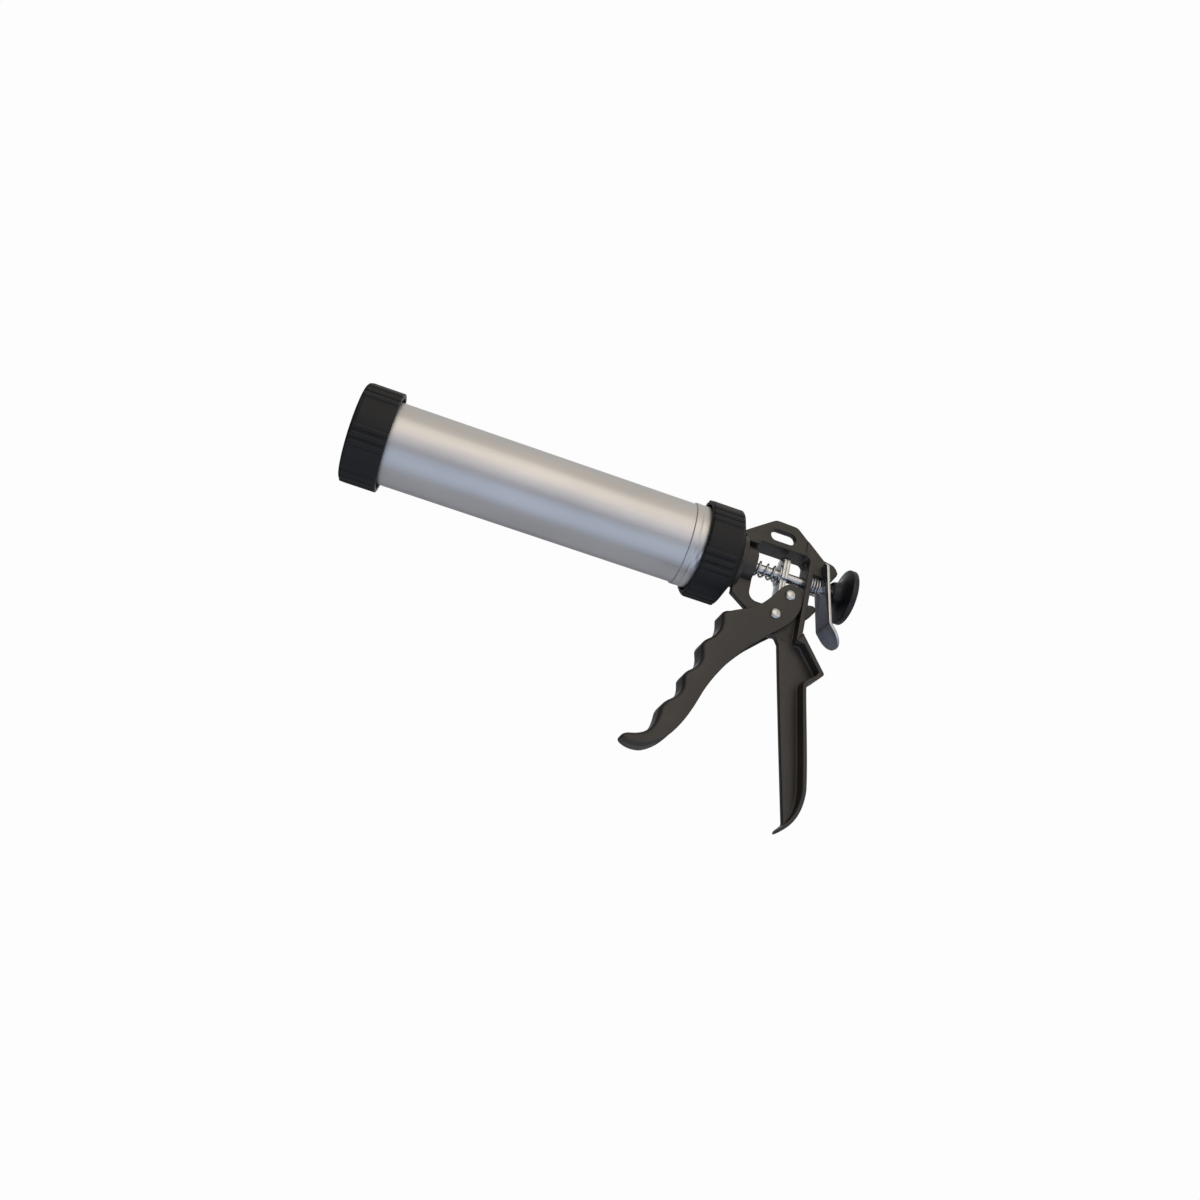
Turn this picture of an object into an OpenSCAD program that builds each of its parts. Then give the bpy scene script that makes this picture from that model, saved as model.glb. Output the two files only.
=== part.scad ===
// Closed-barrel caulking gun: aluminium barrel, ribbed screw caps, cast frame with
// trigger, push rod with gripping drive plates, and a sprung release lever.
// Millimetres. X runs from the muzzle back to the knob, Z is up, Y is across.
// X = 0 is the front face of the front cap; the barrel axis is the X axis.

/* [Barrel] */
// Barrel tube outside diameter
tube_od = 53; // [40:0.5:70]
// Barrel tube wall thickness
tube_wall = 1.3; // [0.8:0.1:3]
// Front end of the tube inside the front cap
tube_front = 6; // [5:0.5:12]
// Rear end of the tube inside the collar
tube_rear = 245; // [200:1:246]
// Start of the raised rolled band
band_front = 217.5; // [180:0.5:225]
// End of the raised rolled band
band_rear = 225.8; // [190:0.5:226.5]
// Height of the raised band
band_rise = 0.9; // [0.3:0.1:1.5]

/* [Ribbed caps] */
// Outside radius over the ribs
cap_r = 33; // [30:0.5:40]
// Rib height above the smooth panels
rib_rise = 1; // [0.3:0.1:2]
// Number of rib groups round a cap
rib_groups = 6; // [3:1:12]
// Angle between the ribs of one group
rib_pitch = 9.2; // [6:0.2:15]
// Front cap length
cap_len = 23.5; // [18:0.5:40]
// Front cap end wall thickness
cap_wall = 3.5; // [2:0.5:6]
// Nozzle opening radius
nozzle_r = 11; // [6:0.5:20]
// Collar front edge position
collar_x = 226.9; // [200:0.1:230]
// Collar cylinder length
collar_len = 21.6; // [15:0.1:30]
// Length of the collar's conical back
cone_len = 5.8; // [3:0.1:15]
// Radius at the back of the cone
cone_r = 19; // [16:0.5:28]
// Inside floor of the collar
collar_floor = 247; // [240:0.5:250]

/* [Cast frame] */
// Half thickness of the middle web
web_h = 2.5; // [1.5:0.1:4]
// Half thickness of the rear hook
hook_h = 3.1; // [2:0.1:4]
// Half width of the roof and rear wall
wall_h = 8.3; // [6:0.1:12]
// Half width of the grip flange
grip_h = 10; // [7:0.5:14]
// Front of the rear wall
wall_x = 302; // [296:0.1:306]
// Rear wall thickness
wall_t = 3.7; // [2.5:0.1:6]
// Height of the roof's underside
roof_z = 15.9; // [14:0.1:20]
// Roof thickness
roof_t = 2.3; // [1.5:0.1:6]
// Neck radius
neck_r = 12; // [9:0.5:14]
// End of the neck
neck_end = 266.6; // [262:0.1:275]
// Hanging slot length
slot_len = 17.5; // [8:0.5:25]
// Hanging slot width
slot_w = 8; // [4:0.5:12]
// Height of the grip's lowest point
grip_low = -167; // [-190:1:-120]

/* [Rod and piston] */
// Push rod radius
rod_r = 3.3; // [2.5:0.1:5]
// Running clearance of the rod in its guides
run_gap = 0.05; // [0.02:0.01:0.1]
// Piston front face
piston_x = 10; // [8:0.5:40]
// Piston length
piston_len = 13; // [6:0.5:25]
// Knob radius
knob_r = 18.5; // [12:0.1:24]
// Knob back face
knob_end = 336.2; // [330:0.1:360]

/* [Trigger] */
// Pivot position along the gun
pivot_x = 285.1; // [280:0.1:292]
// Pivot height
pivot_z = -31.7; // [-40:0.1:-25]
// Drive pin position along the gun
drive_x = 292.6; // [288:0.1:296]
// Drive pin height
drive_z = -16; // [-20:0.1:-12]
// Half width over the cheeks
cheek_h = 9; // [7:0.1:11]
// Half width of the slot between the cheeks
cheek_in = 6.2; // [5:0.1:8]
// Pin shank radius
pin_r = 2.4; // [1.5:0.1:3]
// Pin head radius
head_r = 3.6; // [2.5:0.1:5]

/* [Drive and release] */
// Front face of the front drive plate
plate_x = 285.1; // [282:0.1:288]
// Thickness of one drive plate
plate_t = 2.15; // [1:0.05:3]
// Half width of the drive plates
plate_h = 8; // [6:0.5:10]
// Drive spring outside radius
spring_r = 5.5; // [4:0.1:7]
// Drive spring wire diameter
wire_d = 1.5; // [0.8:0.1:2.5]
// Drive spring open turns
drive_turns = 3; // [1:0.5:6]
// Brake spring outside radius
brake_r = 6; // [5:0.1:8]
// Brake spring turns
brake_turns = 2.6; // [2:0.2:8]
// Release lever tilt from vertical
lever_tilt = 11.3; // [0:0.1:20]
// Release lever sheet thickness
lever_t = 2; // [1:0.1:3]
// Release lever half width
lever_h = 10.5; // [7:0.5:14]
// Tilt of the thumb tab
tab_tilt = 41; // [10:1:60]

/* [Hidden] */
$fn = 96;
eps = 0.02;
tube_r = tube_od / 2;
bore_r = tube_r - tube_wall;
wall_b = wall_x + wall_t;
plate_b = plate_x + 2 * plate_t + 0.05;
collar_end = collar_x + collar_len + cone_len;
crotch_x = 315.2;
crotch_z = 6.6;

black = [0.09, 0.09, 0.1];
cast = [0.15, 0.14, 0.13];
alu = [0.78, 0.77, 0.75];
zinc = [0.7, 0.72, 0.74];

// Cylinder along X from xa to xb.
module xcyl(xa, xb, r) {
  translate([xa, 0, 0]) rotate([0, 90, 0]) cylinder(h = xb - xa, r = r);
}
// Ring along X.
module xring(xa, xb, ro, ri) {
  difference() {
    xcyl(xa, xb, ro);
    xcyl(xa - 1, xb + 1, ri);
  }
}
// Side profile in X and Z, h each side of the middle plane.
module side(h) {
  rotate([90, 0, 0]) linear_extrude(height = 2 * h, center = true) children();
}
// One cheek of the given thickness with its outer face at half width h.
module cheek(h, t) {
  for (s = [-1, 1]) {
    translate([0, s * (h - t / 2), 0]) side(t / 2) children();
  }
}
// Cross shaft along Y.
module ycyl(x, z, h, r) {
  translate([x, h, z]) rotate([90, 0, 0]) cylinder(h = 2 * h, r = r);
}
// Hexagonal nut along X with a round hole.
module xnut(xa, xb, af, r) {
  difference() {
    translate([xa, 0, 0]) rotate([0, 90, 0]) cylinder(h = xb - xa, r = af / sqrt(3), $fn = 6);
    xcyl(xa - 1, xb + 1, r);
  }
}
// Point on a cubic curve.
function bez(a, b, c, d, t) =
  a * pow(1 - t, 3) + b * 3 * t * pow(1 - t, 2) + c * 3 * t * t * (1 - t) + d * pow(t, 3);
function curve(a, b, c, d, n) = [for (i = [0 : n - 1]) bez(a, b, c, d, i / n)];
// Arc points about a centre, from angle a0 to a1.
function arc(cx, cz, r, a0, a1, n) =
  [for (i = [0 : n]) [cx + r * cos(a0 + (a1 - a0) * i / n), cz + r * sin(a0 + (a1 - a0) * i / n)]];

// Closed helical spring along X, round wire, made as one swept solid.
module spring(xa, xb, r_out, d, turns, seat) {
  rw = d / 2;
  rm = r_out - rw;
  steps = 18;
  sides = 10;
  total = turns + 2 * seat;
  n = ceil(total * steps);
  free = xb - xa - d - 2 * seat * d * 1.04;
  function along(t) =
    t < seat ? t * d * 1.04
    : t > turns + seat ? seat * d * 1.04 + free + (t - turns - seat) * d * 1.04
    : seat * d * 1.04 + free * (t - seat) / turns;
  pts = [for (i = [0 : n]) for (j = [0 : sides - 1])
    let (t = total * i / n, w = 360 * t, q = 360 * j / sides, rr = rm + rw * cos(q))
    [xa + rw + along(t) + rw * sin(q), rr * cos(w), rr * sin(w)]];
  tube = [for (i = [0 : n - 1]) for (j = [0 : sides - 1])
    [i * sides + j, i * sides + (j + 1) % sides,
     (i + 1) * sides + (j + 1) % sides, (i + 1) * sides + j]];
  start = [[for (j = [0 : sides - 1]) sides - 1 - j]];
  end = [[for (j = [0 : sides - 1]) n * sides + j]];
  polyhedron(points = pts, faces = concat(tube, start, end), convexity = 10);
}

// Ribs in groups round the X axis, between xa and xb.
module ribs(xa, xb, turn) {
  base = cap_r - rib_rise;
  for (g = [0 : rib_groups - 1]) {
    for (k = [-1 : 1]) {
      rotate([turn + g * 360 / rib_groups + k * rib_pitch, 0, 0])
        translate([(xa + xb) / 2, 0, base])
          cube([xb - xa, 2.6, 2 * rib_rise - 0.1], center = true);
    }
  }
}

module front_cap() {
  color(black) difference() {
    union() {
      translate([0, 0, 0]) rotate([0, 90, 0]) rotate_extrude() polygon([
        [0, 0], [cap_r - 2.4, 0], [cap_r - rib_rise - 0.2, 1.6], [cap_r - rib_rise, 3],
        [cap_r - rib_rise, cap_len - 0.8], [cap_r - rib_rise - 0.8, cap_len], [0, cap_len]]);
      ribs(2.2, cap_len - 0.6, 61.5);
    }
    xcyl(-1, cap_wall + 1, nozzle_r);
    xcyl(cap_wall, cap_len + 1, tube_r + run_gap);
  }
}
module nozzle_seal() {
  color(black) xring(cap_wall + eps, tube_front - 0.1, tube_r - 0.6, nozzle_r + 1);
}
module barrel_tube() {
  color(alu) rotate([0, 90, 0]) rotate_extrude() polygon([
    [bore_r, tube_front], [tube_r - 0.4, tube_front], [tube_r, tube_front + 0.5],
    [tube_r, band_front], [tube_r + band_rise, band_front + 0.9],
    [tube_r + band_rise, band_front + 3.2], [tube_r + band_rise - 0.35, band_front + 4.1],
    [tube_r + band_rise, band_front + 5], [tube_r + band_rise, band_rear - 0.9],
    [tube_r, band_rear], [tube_r, tube_rear], [bore_r, tube_rear]]);
}
module rear_collar() {
  color(black) difference() {
    union() {
      rotate([0, 90, 0]) rotate_extrude() polygon([
        [0, collar_x], [cap_r - rib_rise - 0.8, collar_x], [cap_r - rib_rise, collar_x + 0.8],
        [cap_r - rib_rise, collar_x + collar_len - 0.6], [cap_r - rib_rise - 0.6, collar_x + collar_len],
        [cone_r, collar_end], [0, collar_end]]);
      ribs(collar_x + 0.6, collar_x + collar_len - 0.4, 66);
    }
    xcyl(collar_x - 1, collar_floor, tube_r + run_gap);
    xcyl(collar_x, collar_end + 1, 10.05);
  }
}
module collar_washer() {
  color(zinc) xring(collar_floor - 1.8, collar_floor - eps, 21, 8.05);
}
module collar_nut() {
  color(zinc) xnut(collar_floor - 9.2, collar_floor - 1.85, 24, 8.05);
}

// Window in the web between the neck and the rear wall.
module window_cut() {
  left = 267.4;
  low = -24.3;
  polygon(concat(
    arc(left + 6, low + 6, 6, 180, 270, 8),
    arc(wall_x - 5, low + 5, 5, 270, 360, 8),
    arc(wall_x - 3.4, roof_z - 3.4, 3.4, 0, 90, 8),
    [[left, roof_z], [left, roof_z - 0.1]]));
}
// Outer outline of the web, from the collar round the top and hook and down the grip.
function web_top() = [
  [255.6, -23], [255.6, 22.3], [265.8, 30.2], [274.6, 36.8], [276.6, 37.9], [279, 38.1],
  [290.6, 37.7], [292.6, 37], [300.4, 30.6]];
function hook_line() = [
  [299.8, 31.1], [313.4, 19.9], [317.6, 19.3], [320.6, 18.4], [322.6, 16.6], [324.2, 13.8],
  [323.6, 11.8], [320.9, 7], [319.9, 5.4], [318.9, 5.2], [318.3, 6.4], [317.4, 7.2]];
// Rear face of the grip, outside, from the palm swell to the toe.
function grip_back() = concat(
  [[wall_b, -38.6], [306.4, -40], [322.5, -60.3]],
  arc(321.6, -61.9, 1.7, 40, -50, 5),
  [[320, -66], [314.6, -70.6]],
  curve([313.4, -73.6], [314, -80], [322.6, -122], [324.2, -138], 10),
  curve([324.2, -138], [325.4, -151], [321.6, -158.6], [315, grip_low + 2.6], 9),
  [[313.4, grip_low + 1.1], [312.6, grip_low + 0.8], [312.2, grip_low + 1.8], [312.9, grip_low + 3.3]]);
// Inside of the grip flange.
function grip_inside() = concat(
  curve([315.6, grip_low + 6.4], [319.6, -156.4], [322.6, -149], [321.4, -138], 9),
  curve([321.4, -138], [319.6, -122], [311.3, -80], [310.7, -72.6], 10),
  [[311.6, -70], [318.4, -64], [319.7, -61.4], [307.4, -46.2], [wall_x, -45.2]]);

toe_top = -139;
toe_taper = 13.2;
module pin_boss() {
  ycyl(pivot_x, pivot_z, 5.9, 8);
}
module body_frame() {
  color(cast) difference() {
    union() {
      // Middle web round the window.
      side(web_h) difference() {
        polygon(concat(web_top(), [[300.4, 30.6], [wall_b, 26.2], [wall_b, -46]],
          arc(pivot_x + 1, pivot_z, 12.9, -72, -160, 10), [[266.4, -30.2]]));
        window_cut();
      }
      // Grip web.
      side(web_h - 0.4) polygon(concat(
        [[wall_x + 1, -36], [285, -36], [287.6, -43], [290.6, -45], [292.8, -48.2],
         [298.6, -77.3], [306.3, -114.8], [315.6, grip_low + 8], [315.2, grip_low + 4]],
        [[318.4, grip_low + 8.6], [321.6, -150], [322.4, -138], [311.9, -72], [320.4, -62],
         [306.4, -43]]));
      // Rear hook for the release lever.
      side(hook_h) polygon(concat(hook_line(), [[wall_b - 1, 7.2], [300.4, 12], [300.4, 30.6]]));
      // Lug under the brake spring.
      side(hook_h) polygon(concat([[wall_b - 1, -15.6], [311.6, -14.6]],
        arc(310.6, -17.4, 2.8, 70, -30, 5), [[310.4, -23], [307.8, -25.8], [wall_b - 1, -28.6]]));
      // Roof and front block.
      side(wall_h) polygon([[256.5, 13.2], [267.4, 13.2], [267.4, roof_z], [300.4, roof_z],
        [300.4, roof_z + roof_t], [256.5, roof_z + roof_t]]);
      // Rear wall, with the rounded corner under the roof.
      side(wall_h) polygon(concat(
        [[wall_b, -46], [wall_b, 15.6], [wall_b - 2.4, roof_z + roof_t], [298.6, roof_z + roof_t]],
        [[298.6, roof_z]], arc(wall_x - 3.4, roof_z - 3.4, 3.4, 90, 0, 8),
        [[wall_x, -46]]));
      // Grip flange, narrowing towards the toe.
      difference() {
        side(grip_h) polygon(concat(grip_back(), grip_inside()));
        for (s = [-1, 1]) {
          translate([300, s * grip_h, toe_top]) rotate([-s * toe_taper, 0, 0])
            translate([0, s < 0 ? -30 : 0, -40]) cube([40, 30, 40]);
        }
      }
      // Flange against the collar, neck, nose and threaded end.
      xcyl(collar_end + eps, 257.6, 17.5);
      xcyl(257, neck_end, neck_r);
      xcyl(collar_floor + 1, 257, 10);
      xcyl(collar_floor - 10.4, 257, 8);
      pin_boss();
    }
    xcyl(230, neck_end - 9, rod_r + 1.2);
    xcyl(neck_end - 9, neck_end + 1, 5.6);
    xcyl(wall_x - 1, wall_b + 1, rod_r + run_gap);
    ycyl(pivot_x, pivot_z, 12, pin_r + run_gap);
    // Hanging slot.
    side(6) union() {
      translate([283.2 - (slot_len - slot_w) / 2, 27.3]) circle(r = slot_w / 2);
      translate([283.2 + (slot_len - slot_w) / 2, 27.3]) circle(r = slot_w / 2);
      translate([283.2, 27.3]) square([slot_len - slot_w, slot_w], center = true);
    }
  }
}
module neck_bush() {
  color(black) difference() {
    xcyl(neck_end - 9 + eps, neck_end, 5.6 - 0.01);
    xcyl(neck_end - 10, neck_end + 1, rod_r + run_gap);
  }
}

module push_rod() {
  color(zinc) rotate([0, 90, 0]) rotate_extrude() polygon([
    [0, piston_x - 2.2], [rod_r - 0.6, piston_x - 2.2], [rod_r, piston_x - 1.6],
    [rod_r, knob_end - 5.6], [rod_r - 0.6, knob_end - 5], [0, knob_end - 5]]);
}
module piston() {
  color(black) rotate([0, 90, 0]) rotate_extrude() polygon([
    [rod_r + 0.02, piston_x + 4], [9, piston_x + 4], [9, piston_x + 0.6], [9.6, piston_x],
    [22, piston_x], [bore_r - 0.5, piston_x + 2.4], [bore_r - run_gap, piston_x + 4.4],
    [bore_r - run_gap, piston_x + piston_len - 1], [bore_r - 1.2, piston_x + piston_len],
    [20, piston_x + piston_len], [18.5, piston_x + 7], [9.5, piston_x + 7],
    [8.5, piston_x + piston_len], [rod_r + 0.02, piston_x + piston_len]]);
}
module piston_front_nut() {
  color(zinc) xnut(piston_x - 0.6, piston_x + 4 - eps, 13, rod_r + 0.02);
}
module piston_washer() {
  color(zinc) xring(piston_x + piston_len + eps, piston_x + piston_len + 1.6, 9.5, rod_r + 0.02);
}
module piston_nut() {
  color(zinc) xnut(piston_x + piston_len + 1.62, piston_x + piston_len + 7, 13, rod_r + 0.02);
}
module rod_knob() {
  front = knob_end - 14.6;
  color(black) difference() {
    rotate([0, 90, 0]) rotate_extrude() polygon(concat(
      [[0, front], [6.9, front], [7.6, front + 0.7]],
      curve([7.6, front + 0.7], [8.4, front + 3.4], [8.8, front + 5.4], [11.4, front + 6.6], 6),
      curve([11.4, front + 6.6], [14.4, front + 7.8], [16.6, front + 8], [knob_r - 0.5, front + 8.4], 5),
      [[knob_r, front + 9], [knob_r, knob_end - 2.7], [knob_r - 0.5, knob_end - 2.1]],
      curve([knob_r - 0.5, knob_end - 2.1], [13, knob_end - 0.6], [7, knob_end], [0, knob_end], 8),
      [[0, knob_end]]));
    xcyl(front - 1, knob_end - 3.4, 5.2);
  }
}
module knob_insert() {
  color([0.72, 0.58, 0.3]) difference() {
    xcyl(knob_end - 14.5, knob_end - 3.45, 5.18);
    xcyl(knob_end - 30, knob_end - 4.98, rod_r + 0.02);
    xcyl(knob_end - 5.5, knob_end - 2.5, rod_r - 1);
  }
}

module drive_spring() {
  color(zinc) spring(neck_end + 0.05, plate_x - 1.15, spring_r, wire_d, drive_turns, 0.5);
}
module spring_washer() {
  color(zinc) xring(plate_x - 1.05, plate_x - 0.05, 7, rod_r + 0.12);
}
// Arched drive plate with a narrower tail between the trigger cheeks.
module drive_plate(xa) {
  color(zinc) difference() {
    translate([xa, 0, 0]) rotate([90, 0, 90]) linear_extrude(height = plate_t)
      polygon(concat(arc(0, 5.6, plate_h, 0, 180, 32),
        [[-plate_h, -5], [-5.6, -5], [-5.6, -19], [-4.6, -20]],
        [[4.6, -20], [5.6, -19], [5.6, -5], [plate_h, -5]]));
    xcyl(xa - 1, xa + plate_t + 1, rod_r + 0.1);
  }
}
module drive_plate_front() {
  drive_plate(plate_x);
}
module drive_plate_rear() {
  drive_plate(plate_x + plate_t + 0.05);
}
module drive_roller() {
  r = drive_x - plate_b - 0.05;
  color(zinc) difference() {
    ycyl(drive_x, drive_z, cheek_in - 0.3, r);
    ycyl(drive_x, drive_z, cheek_in, pin_r + run_gap);
  }
}
// Riveted pin across the cheeks with a domed head at each end.
module rivet_pin(x, z) {
  top = cheek_h + 1.9;
  color(zinc) translate([x, 0, z]) rotate([90, 0, 0]) rotate_extrude() polygon(concat(
    [[0, -top]],
    [[1.6, -top + 0.15], [2.7, -top + 0.65], [head_r, -cheek_h - 0.5], [head_r, -cheek_h - eps],
     [pin_r, -cheek_h - eps], [pin_r, cheek_h + eps], [head_r, cheek_h + eps],
     [head_r, cheek_h + 0.5], [2.7, top - 0.65], [1.6, top - 0.15], [0, top]]));
}
module drive_pin() {
  rivet_pin(drive_x, drive_z);
}
module trigger_pivot_pin() {
  rivet_pin(pivot_x, pivot_z);
}

// Finger side of the trigger: a crest, then a scallop to the next crest.
crest = [[250, -41.6], [241.8, -65], [234.8, -88.6], [226, -111]];
function scallop(a, b) = curve(a, [a[0] + 2.2, a[1] - 8.4], [b[0] + 13.6, b[1] + 8.6], b, 9);
function finger_side() = concat(
  [[255.5, -38.6], [252.2, -39.2], [250.6, -40.2]],
  scallop(crest[0], crest[1]), scallop(crest[1], crest[2]), scallop(crest[2], crest[3]),
  curve(crest[3], [225.4, -119], [228.2, -131.4], [213, -134.2], 10),
  curve([213, -134.2], [208.6, -134.8], [206.4, -137.6], [208.2, -139.4], 5));
function palm_side() = concat(
  curve([208.2, -139.4], [211.4, -141.8], [218.4, -142.2], [223.4, -139.8], 5),
  curve([223.4, -139.8], [238.6, -131.6], [245.2, -111], [248.3, -101.4], 9),
  curve([248.3, -101.4], [253.6, -83], [268, -62.8], [276.4, -54.2], 9),
  [[283.5, -47]]);
function hub_side() = concat(
  curve([283.5, -47], [292, -39.8], [301.2, -31], [301.5, -19.4], 9),
  curve([301.5, -19.4], [301.4, -9], [293.6, -3.6], [287, -11.4], 9),
  curve([287, -11.4], [281.4, -18.6], [277.6, -29.6], [263, -35.6], 8));
function grow(p, q, d) = p + (q - p) * d;

trigger_taper = 10.5;
module trigger_outline() {
  polygon(concat(finger_side(), palm_side(), hub_side()));
}
// Hollow between the cheeks: open towards the grip and round the frame web.
module trigger_hollow() {
  polygon(concat(
    [[258.5, -30], [257.6, -43.2]],
    curve([256.6, -46], [258, -56], [251, -62], [248.6, -66], 5),
    curve([248.4, -68], [250.4, -80], [244, -86], [241.6, -90], 5),
    curve([241.2, -91], [242.6, -102], [238, -108], [233, -112.6], 5),
    curve([232.4, -113.6], [232.4, -121], [230.4, -128.4], [225, -132.4], 5),
    [[231, -140], [262, -110], [290, -60], [320, -30], [300, 4], [280, -4], [268, -28]]));
}
module trigger() {
  color(cast) difference() {
    union() {
      cheek(cheek_h, cheek_h - cheek_in) trigger_outline();
      side(cheek_in + 0.2) difference() {
        trigger_outline();
        trigger_hollow();
      }
    }
    ycyl(pivot_x, pivot_z, 12, pin_r + 0.01);
    ycyl(drive_x, drive_z, 12, pin_r + 0.01);
    // The toe narrows to a rounded tip.
    for (s = [-1, 1]) {
      translate([231, s * cheek_h, -160]) rotate([0, 0, s * trigger_taper])
        translate([-40, s < 0 ? -20 : 0, 0]) cube([40, 20, 60]);
    }
  }
}

// Straight upper part and bent tab, both in the lever's own sheet.
module lever_sheet(h0, h1) {
  translate([0, 0, 0]) rotate([90, 0, 90]) linear_extrude(height = lever_t, center = true) children();
}
module release_lever() {
  top = 9.2;
  low = -33.2;
  color(zinc) translate([crotch_x, 0, crotch_z]) rotate([0, -lever_tilt, 0]) difference() {
    union() {
      lever_sheet() union() {
        polygon([[-lever_h, low], [lever_h, low], [lever_h, top - 2.4], [lever_h - 2.4, top],
          [-lever_h + 2.4, top], [-lever_h, top - 2.4]]);
      }
      translate([-lever_t / 2, 0, low]) rotate([0, lever_tilt - tab_tilt, 0])
        translate([lever_t / 2, 0, 0]) lever_sheet() union() {
          polygon([[-lever_h, 0.01], [lever_h, 0.01], [lever_h, -5.2], [-lever_h, -5.2]]);
          translate([0, -5.2]) circle(r = lever_h);
        }
    }
    // Fork for the hook and a loose hole for the rod.
    translate([0, 0, top / 2 + 0.3]) cube([3 * lever_t, 2 * hook_h + 0.8, top + 0.6], center = true);
    translate([0, 0, -crotch_z * cos(lever_tilt) - 0.1]) rotate([0, 90, 0])
      cylinder(h = 12, r = rod_r + 0.55, center = true);
  }
}
module brake_spring() {
  color(zinc) spring(wall_b + 0.05, crotch_x - 1.35, brake_r, 1.4, brake_turns, 0.3);
}

front_cap();
nozzle_seal();
barrel_tube();
rear_collar();
collar_washer();
collar_nut();
body_frame();
neck_bush();
push_rod();
piston();
piston_front_nut();
piston_washer();
piston_nut();
rod_knob();
knob_insert();
drive_spring();
spring_washer();
drive_plate_front();
drive_plate_rear();
drive_roller();
drive_pin();
trigger();
trigger_pivot_pin();
release_lever();
brake_spring();
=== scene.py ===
import math

import bmesh
import bpy
from mathutils import Matrix, Vector
from mathutils.geometry import tessellate_polygon


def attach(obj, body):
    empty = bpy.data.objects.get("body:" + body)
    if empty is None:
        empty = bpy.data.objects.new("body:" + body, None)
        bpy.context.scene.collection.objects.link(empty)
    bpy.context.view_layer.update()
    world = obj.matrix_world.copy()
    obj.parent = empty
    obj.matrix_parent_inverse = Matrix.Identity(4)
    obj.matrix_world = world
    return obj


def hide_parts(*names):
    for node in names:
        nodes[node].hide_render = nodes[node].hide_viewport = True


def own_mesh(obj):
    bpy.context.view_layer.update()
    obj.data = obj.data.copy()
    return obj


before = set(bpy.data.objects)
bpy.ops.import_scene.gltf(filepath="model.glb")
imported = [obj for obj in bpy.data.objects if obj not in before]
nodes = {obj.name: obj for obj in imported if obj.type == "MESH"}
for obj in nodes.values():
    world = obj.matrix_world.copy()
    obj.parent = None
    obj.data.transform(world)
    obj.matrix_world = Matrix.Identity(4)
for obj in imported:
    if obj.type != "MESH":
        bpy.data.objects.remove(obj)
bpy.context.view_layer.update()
MM = 0.001

# Sizes in millimetres. They repeat the solids' own, but for the gap at the mouths of cap and collar,
# which is cut only here, and the band, which runs on into the collar's mouth.
# X runs from the muzzle back to the knob, Z is up.
TUBE_R, TUBE_BORE = 26.5, 25.2
CAP_R, RIB_RISE = 33.0, 1.0
CAP_LENGTH, CAP_WALL, NOZZLE_R = 23.5, 3.5, 11.0
MOUTH_GAP, MOUTH_DEPTH = 2.6, 3.5
COLLAR_X, COLLAR_LENGTH, CONE_LENGTH, CONE_R = 226.9, 21.6, 5.8, 19.0
COLLAR_FLOOR = 247.0
RUN_GAP = 0.05
BAND = (217.5, 228.4)
BAND_RISE, GROOVE_BACK, GROOVE_DEPTH = 0.82, 5.2, 0.22
PATCH_ANGLE, PATCH_SPREAD = math.radians(228), 0.26
WEB, HOOK, WALL, GRIP = 2.5, 3.1, 8.3, 10.0
WALL_FRONT, WALL_BACK = 302.0, 305.7
ROOF, ROOF_TOP = 15.9, 18.2
NECK_R, NECK_END = 12.0, 266.6
TOE = -167.0
PIVOT, DRIVE_PIN = (285.1, -31.7), (292.6, -16.0)
CHEEK, CHEEK_IN = 9.0, 6.2
ROD_R = 3.3
PLATE_X, PLATE_T = 285.1, 2.15
CROTCH = (315.2, 6.6)
LEVER_TILT, TAB_TILT = 11.3, 41.0
KNOB_R, KNOB_END = 18.5, 336.2
FLOOR_MIDDLE, FLOOR_REACH, FLOOR_DROP, FLOOR_SIDES = 172, 4000, 1300, 96


# ---------------------------------------------------------------- materials

def paint(hex_colour):
    """sRGB hex to the linear colour that a shader wants."""
    values = [int(hex_colour[i:i + 2], 16) / 255 for i in (1, 3, 5)]
    return [v / 12.92 if v <= 0.04045 else ((v + 0.055) / 1.055) ** 2.4 for v in values] + [1.0]


def add(tree, kind, feeds=None, **settings):
    """One node with its settings; feeds are values or sockets for its inputs."""
    made = tree.nodes.new(kind)
    for key, value in settings.items():
        setattr(made, key, value)
    for key, value in (feeds or {}).items():
        socket = made.inputs[key]
        if isinstance(value, bpy.types.NodeSocket):
            tree.links.new(value, socket)
        else:
            socket.default_value = value
    return made


def start_material(name):
    made = bpy.data.materials.new(name)
    made.use_nodes = True
    tree = made.node_tree
    tree.nodes.clear()
    shader = add(tree, "ShaderNodeBsdfPrincipled")
    add(tree, "ShaderNodeOutputMaterial", {"Surface": shader.outputs["BSDF"]})
    place = add(tree, "ShaderNodeTexCoord").outputs["Object"]
    return made, tree, shader, place


def blotches(tree, place, size_mm, detail=3.0, rough=0.5, stretch=(1.0, 1.0, 1.0)):
    """A noise field whose blotches are about size_mm across, drawn out where stretch is under 1."""
    laid = add(tree, "ShaderNodeMapping", {"Vector": place, "Scale": stretch}).outputs["Vector"]
    feeds = {"Vector": laid, "Scale": 1000.0 / size_mm, "Detail": detail, "Roughness": rough}
    return add(tree, "ShaderNodeTexNoise", feeds).outputs["Fac"]


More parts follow.
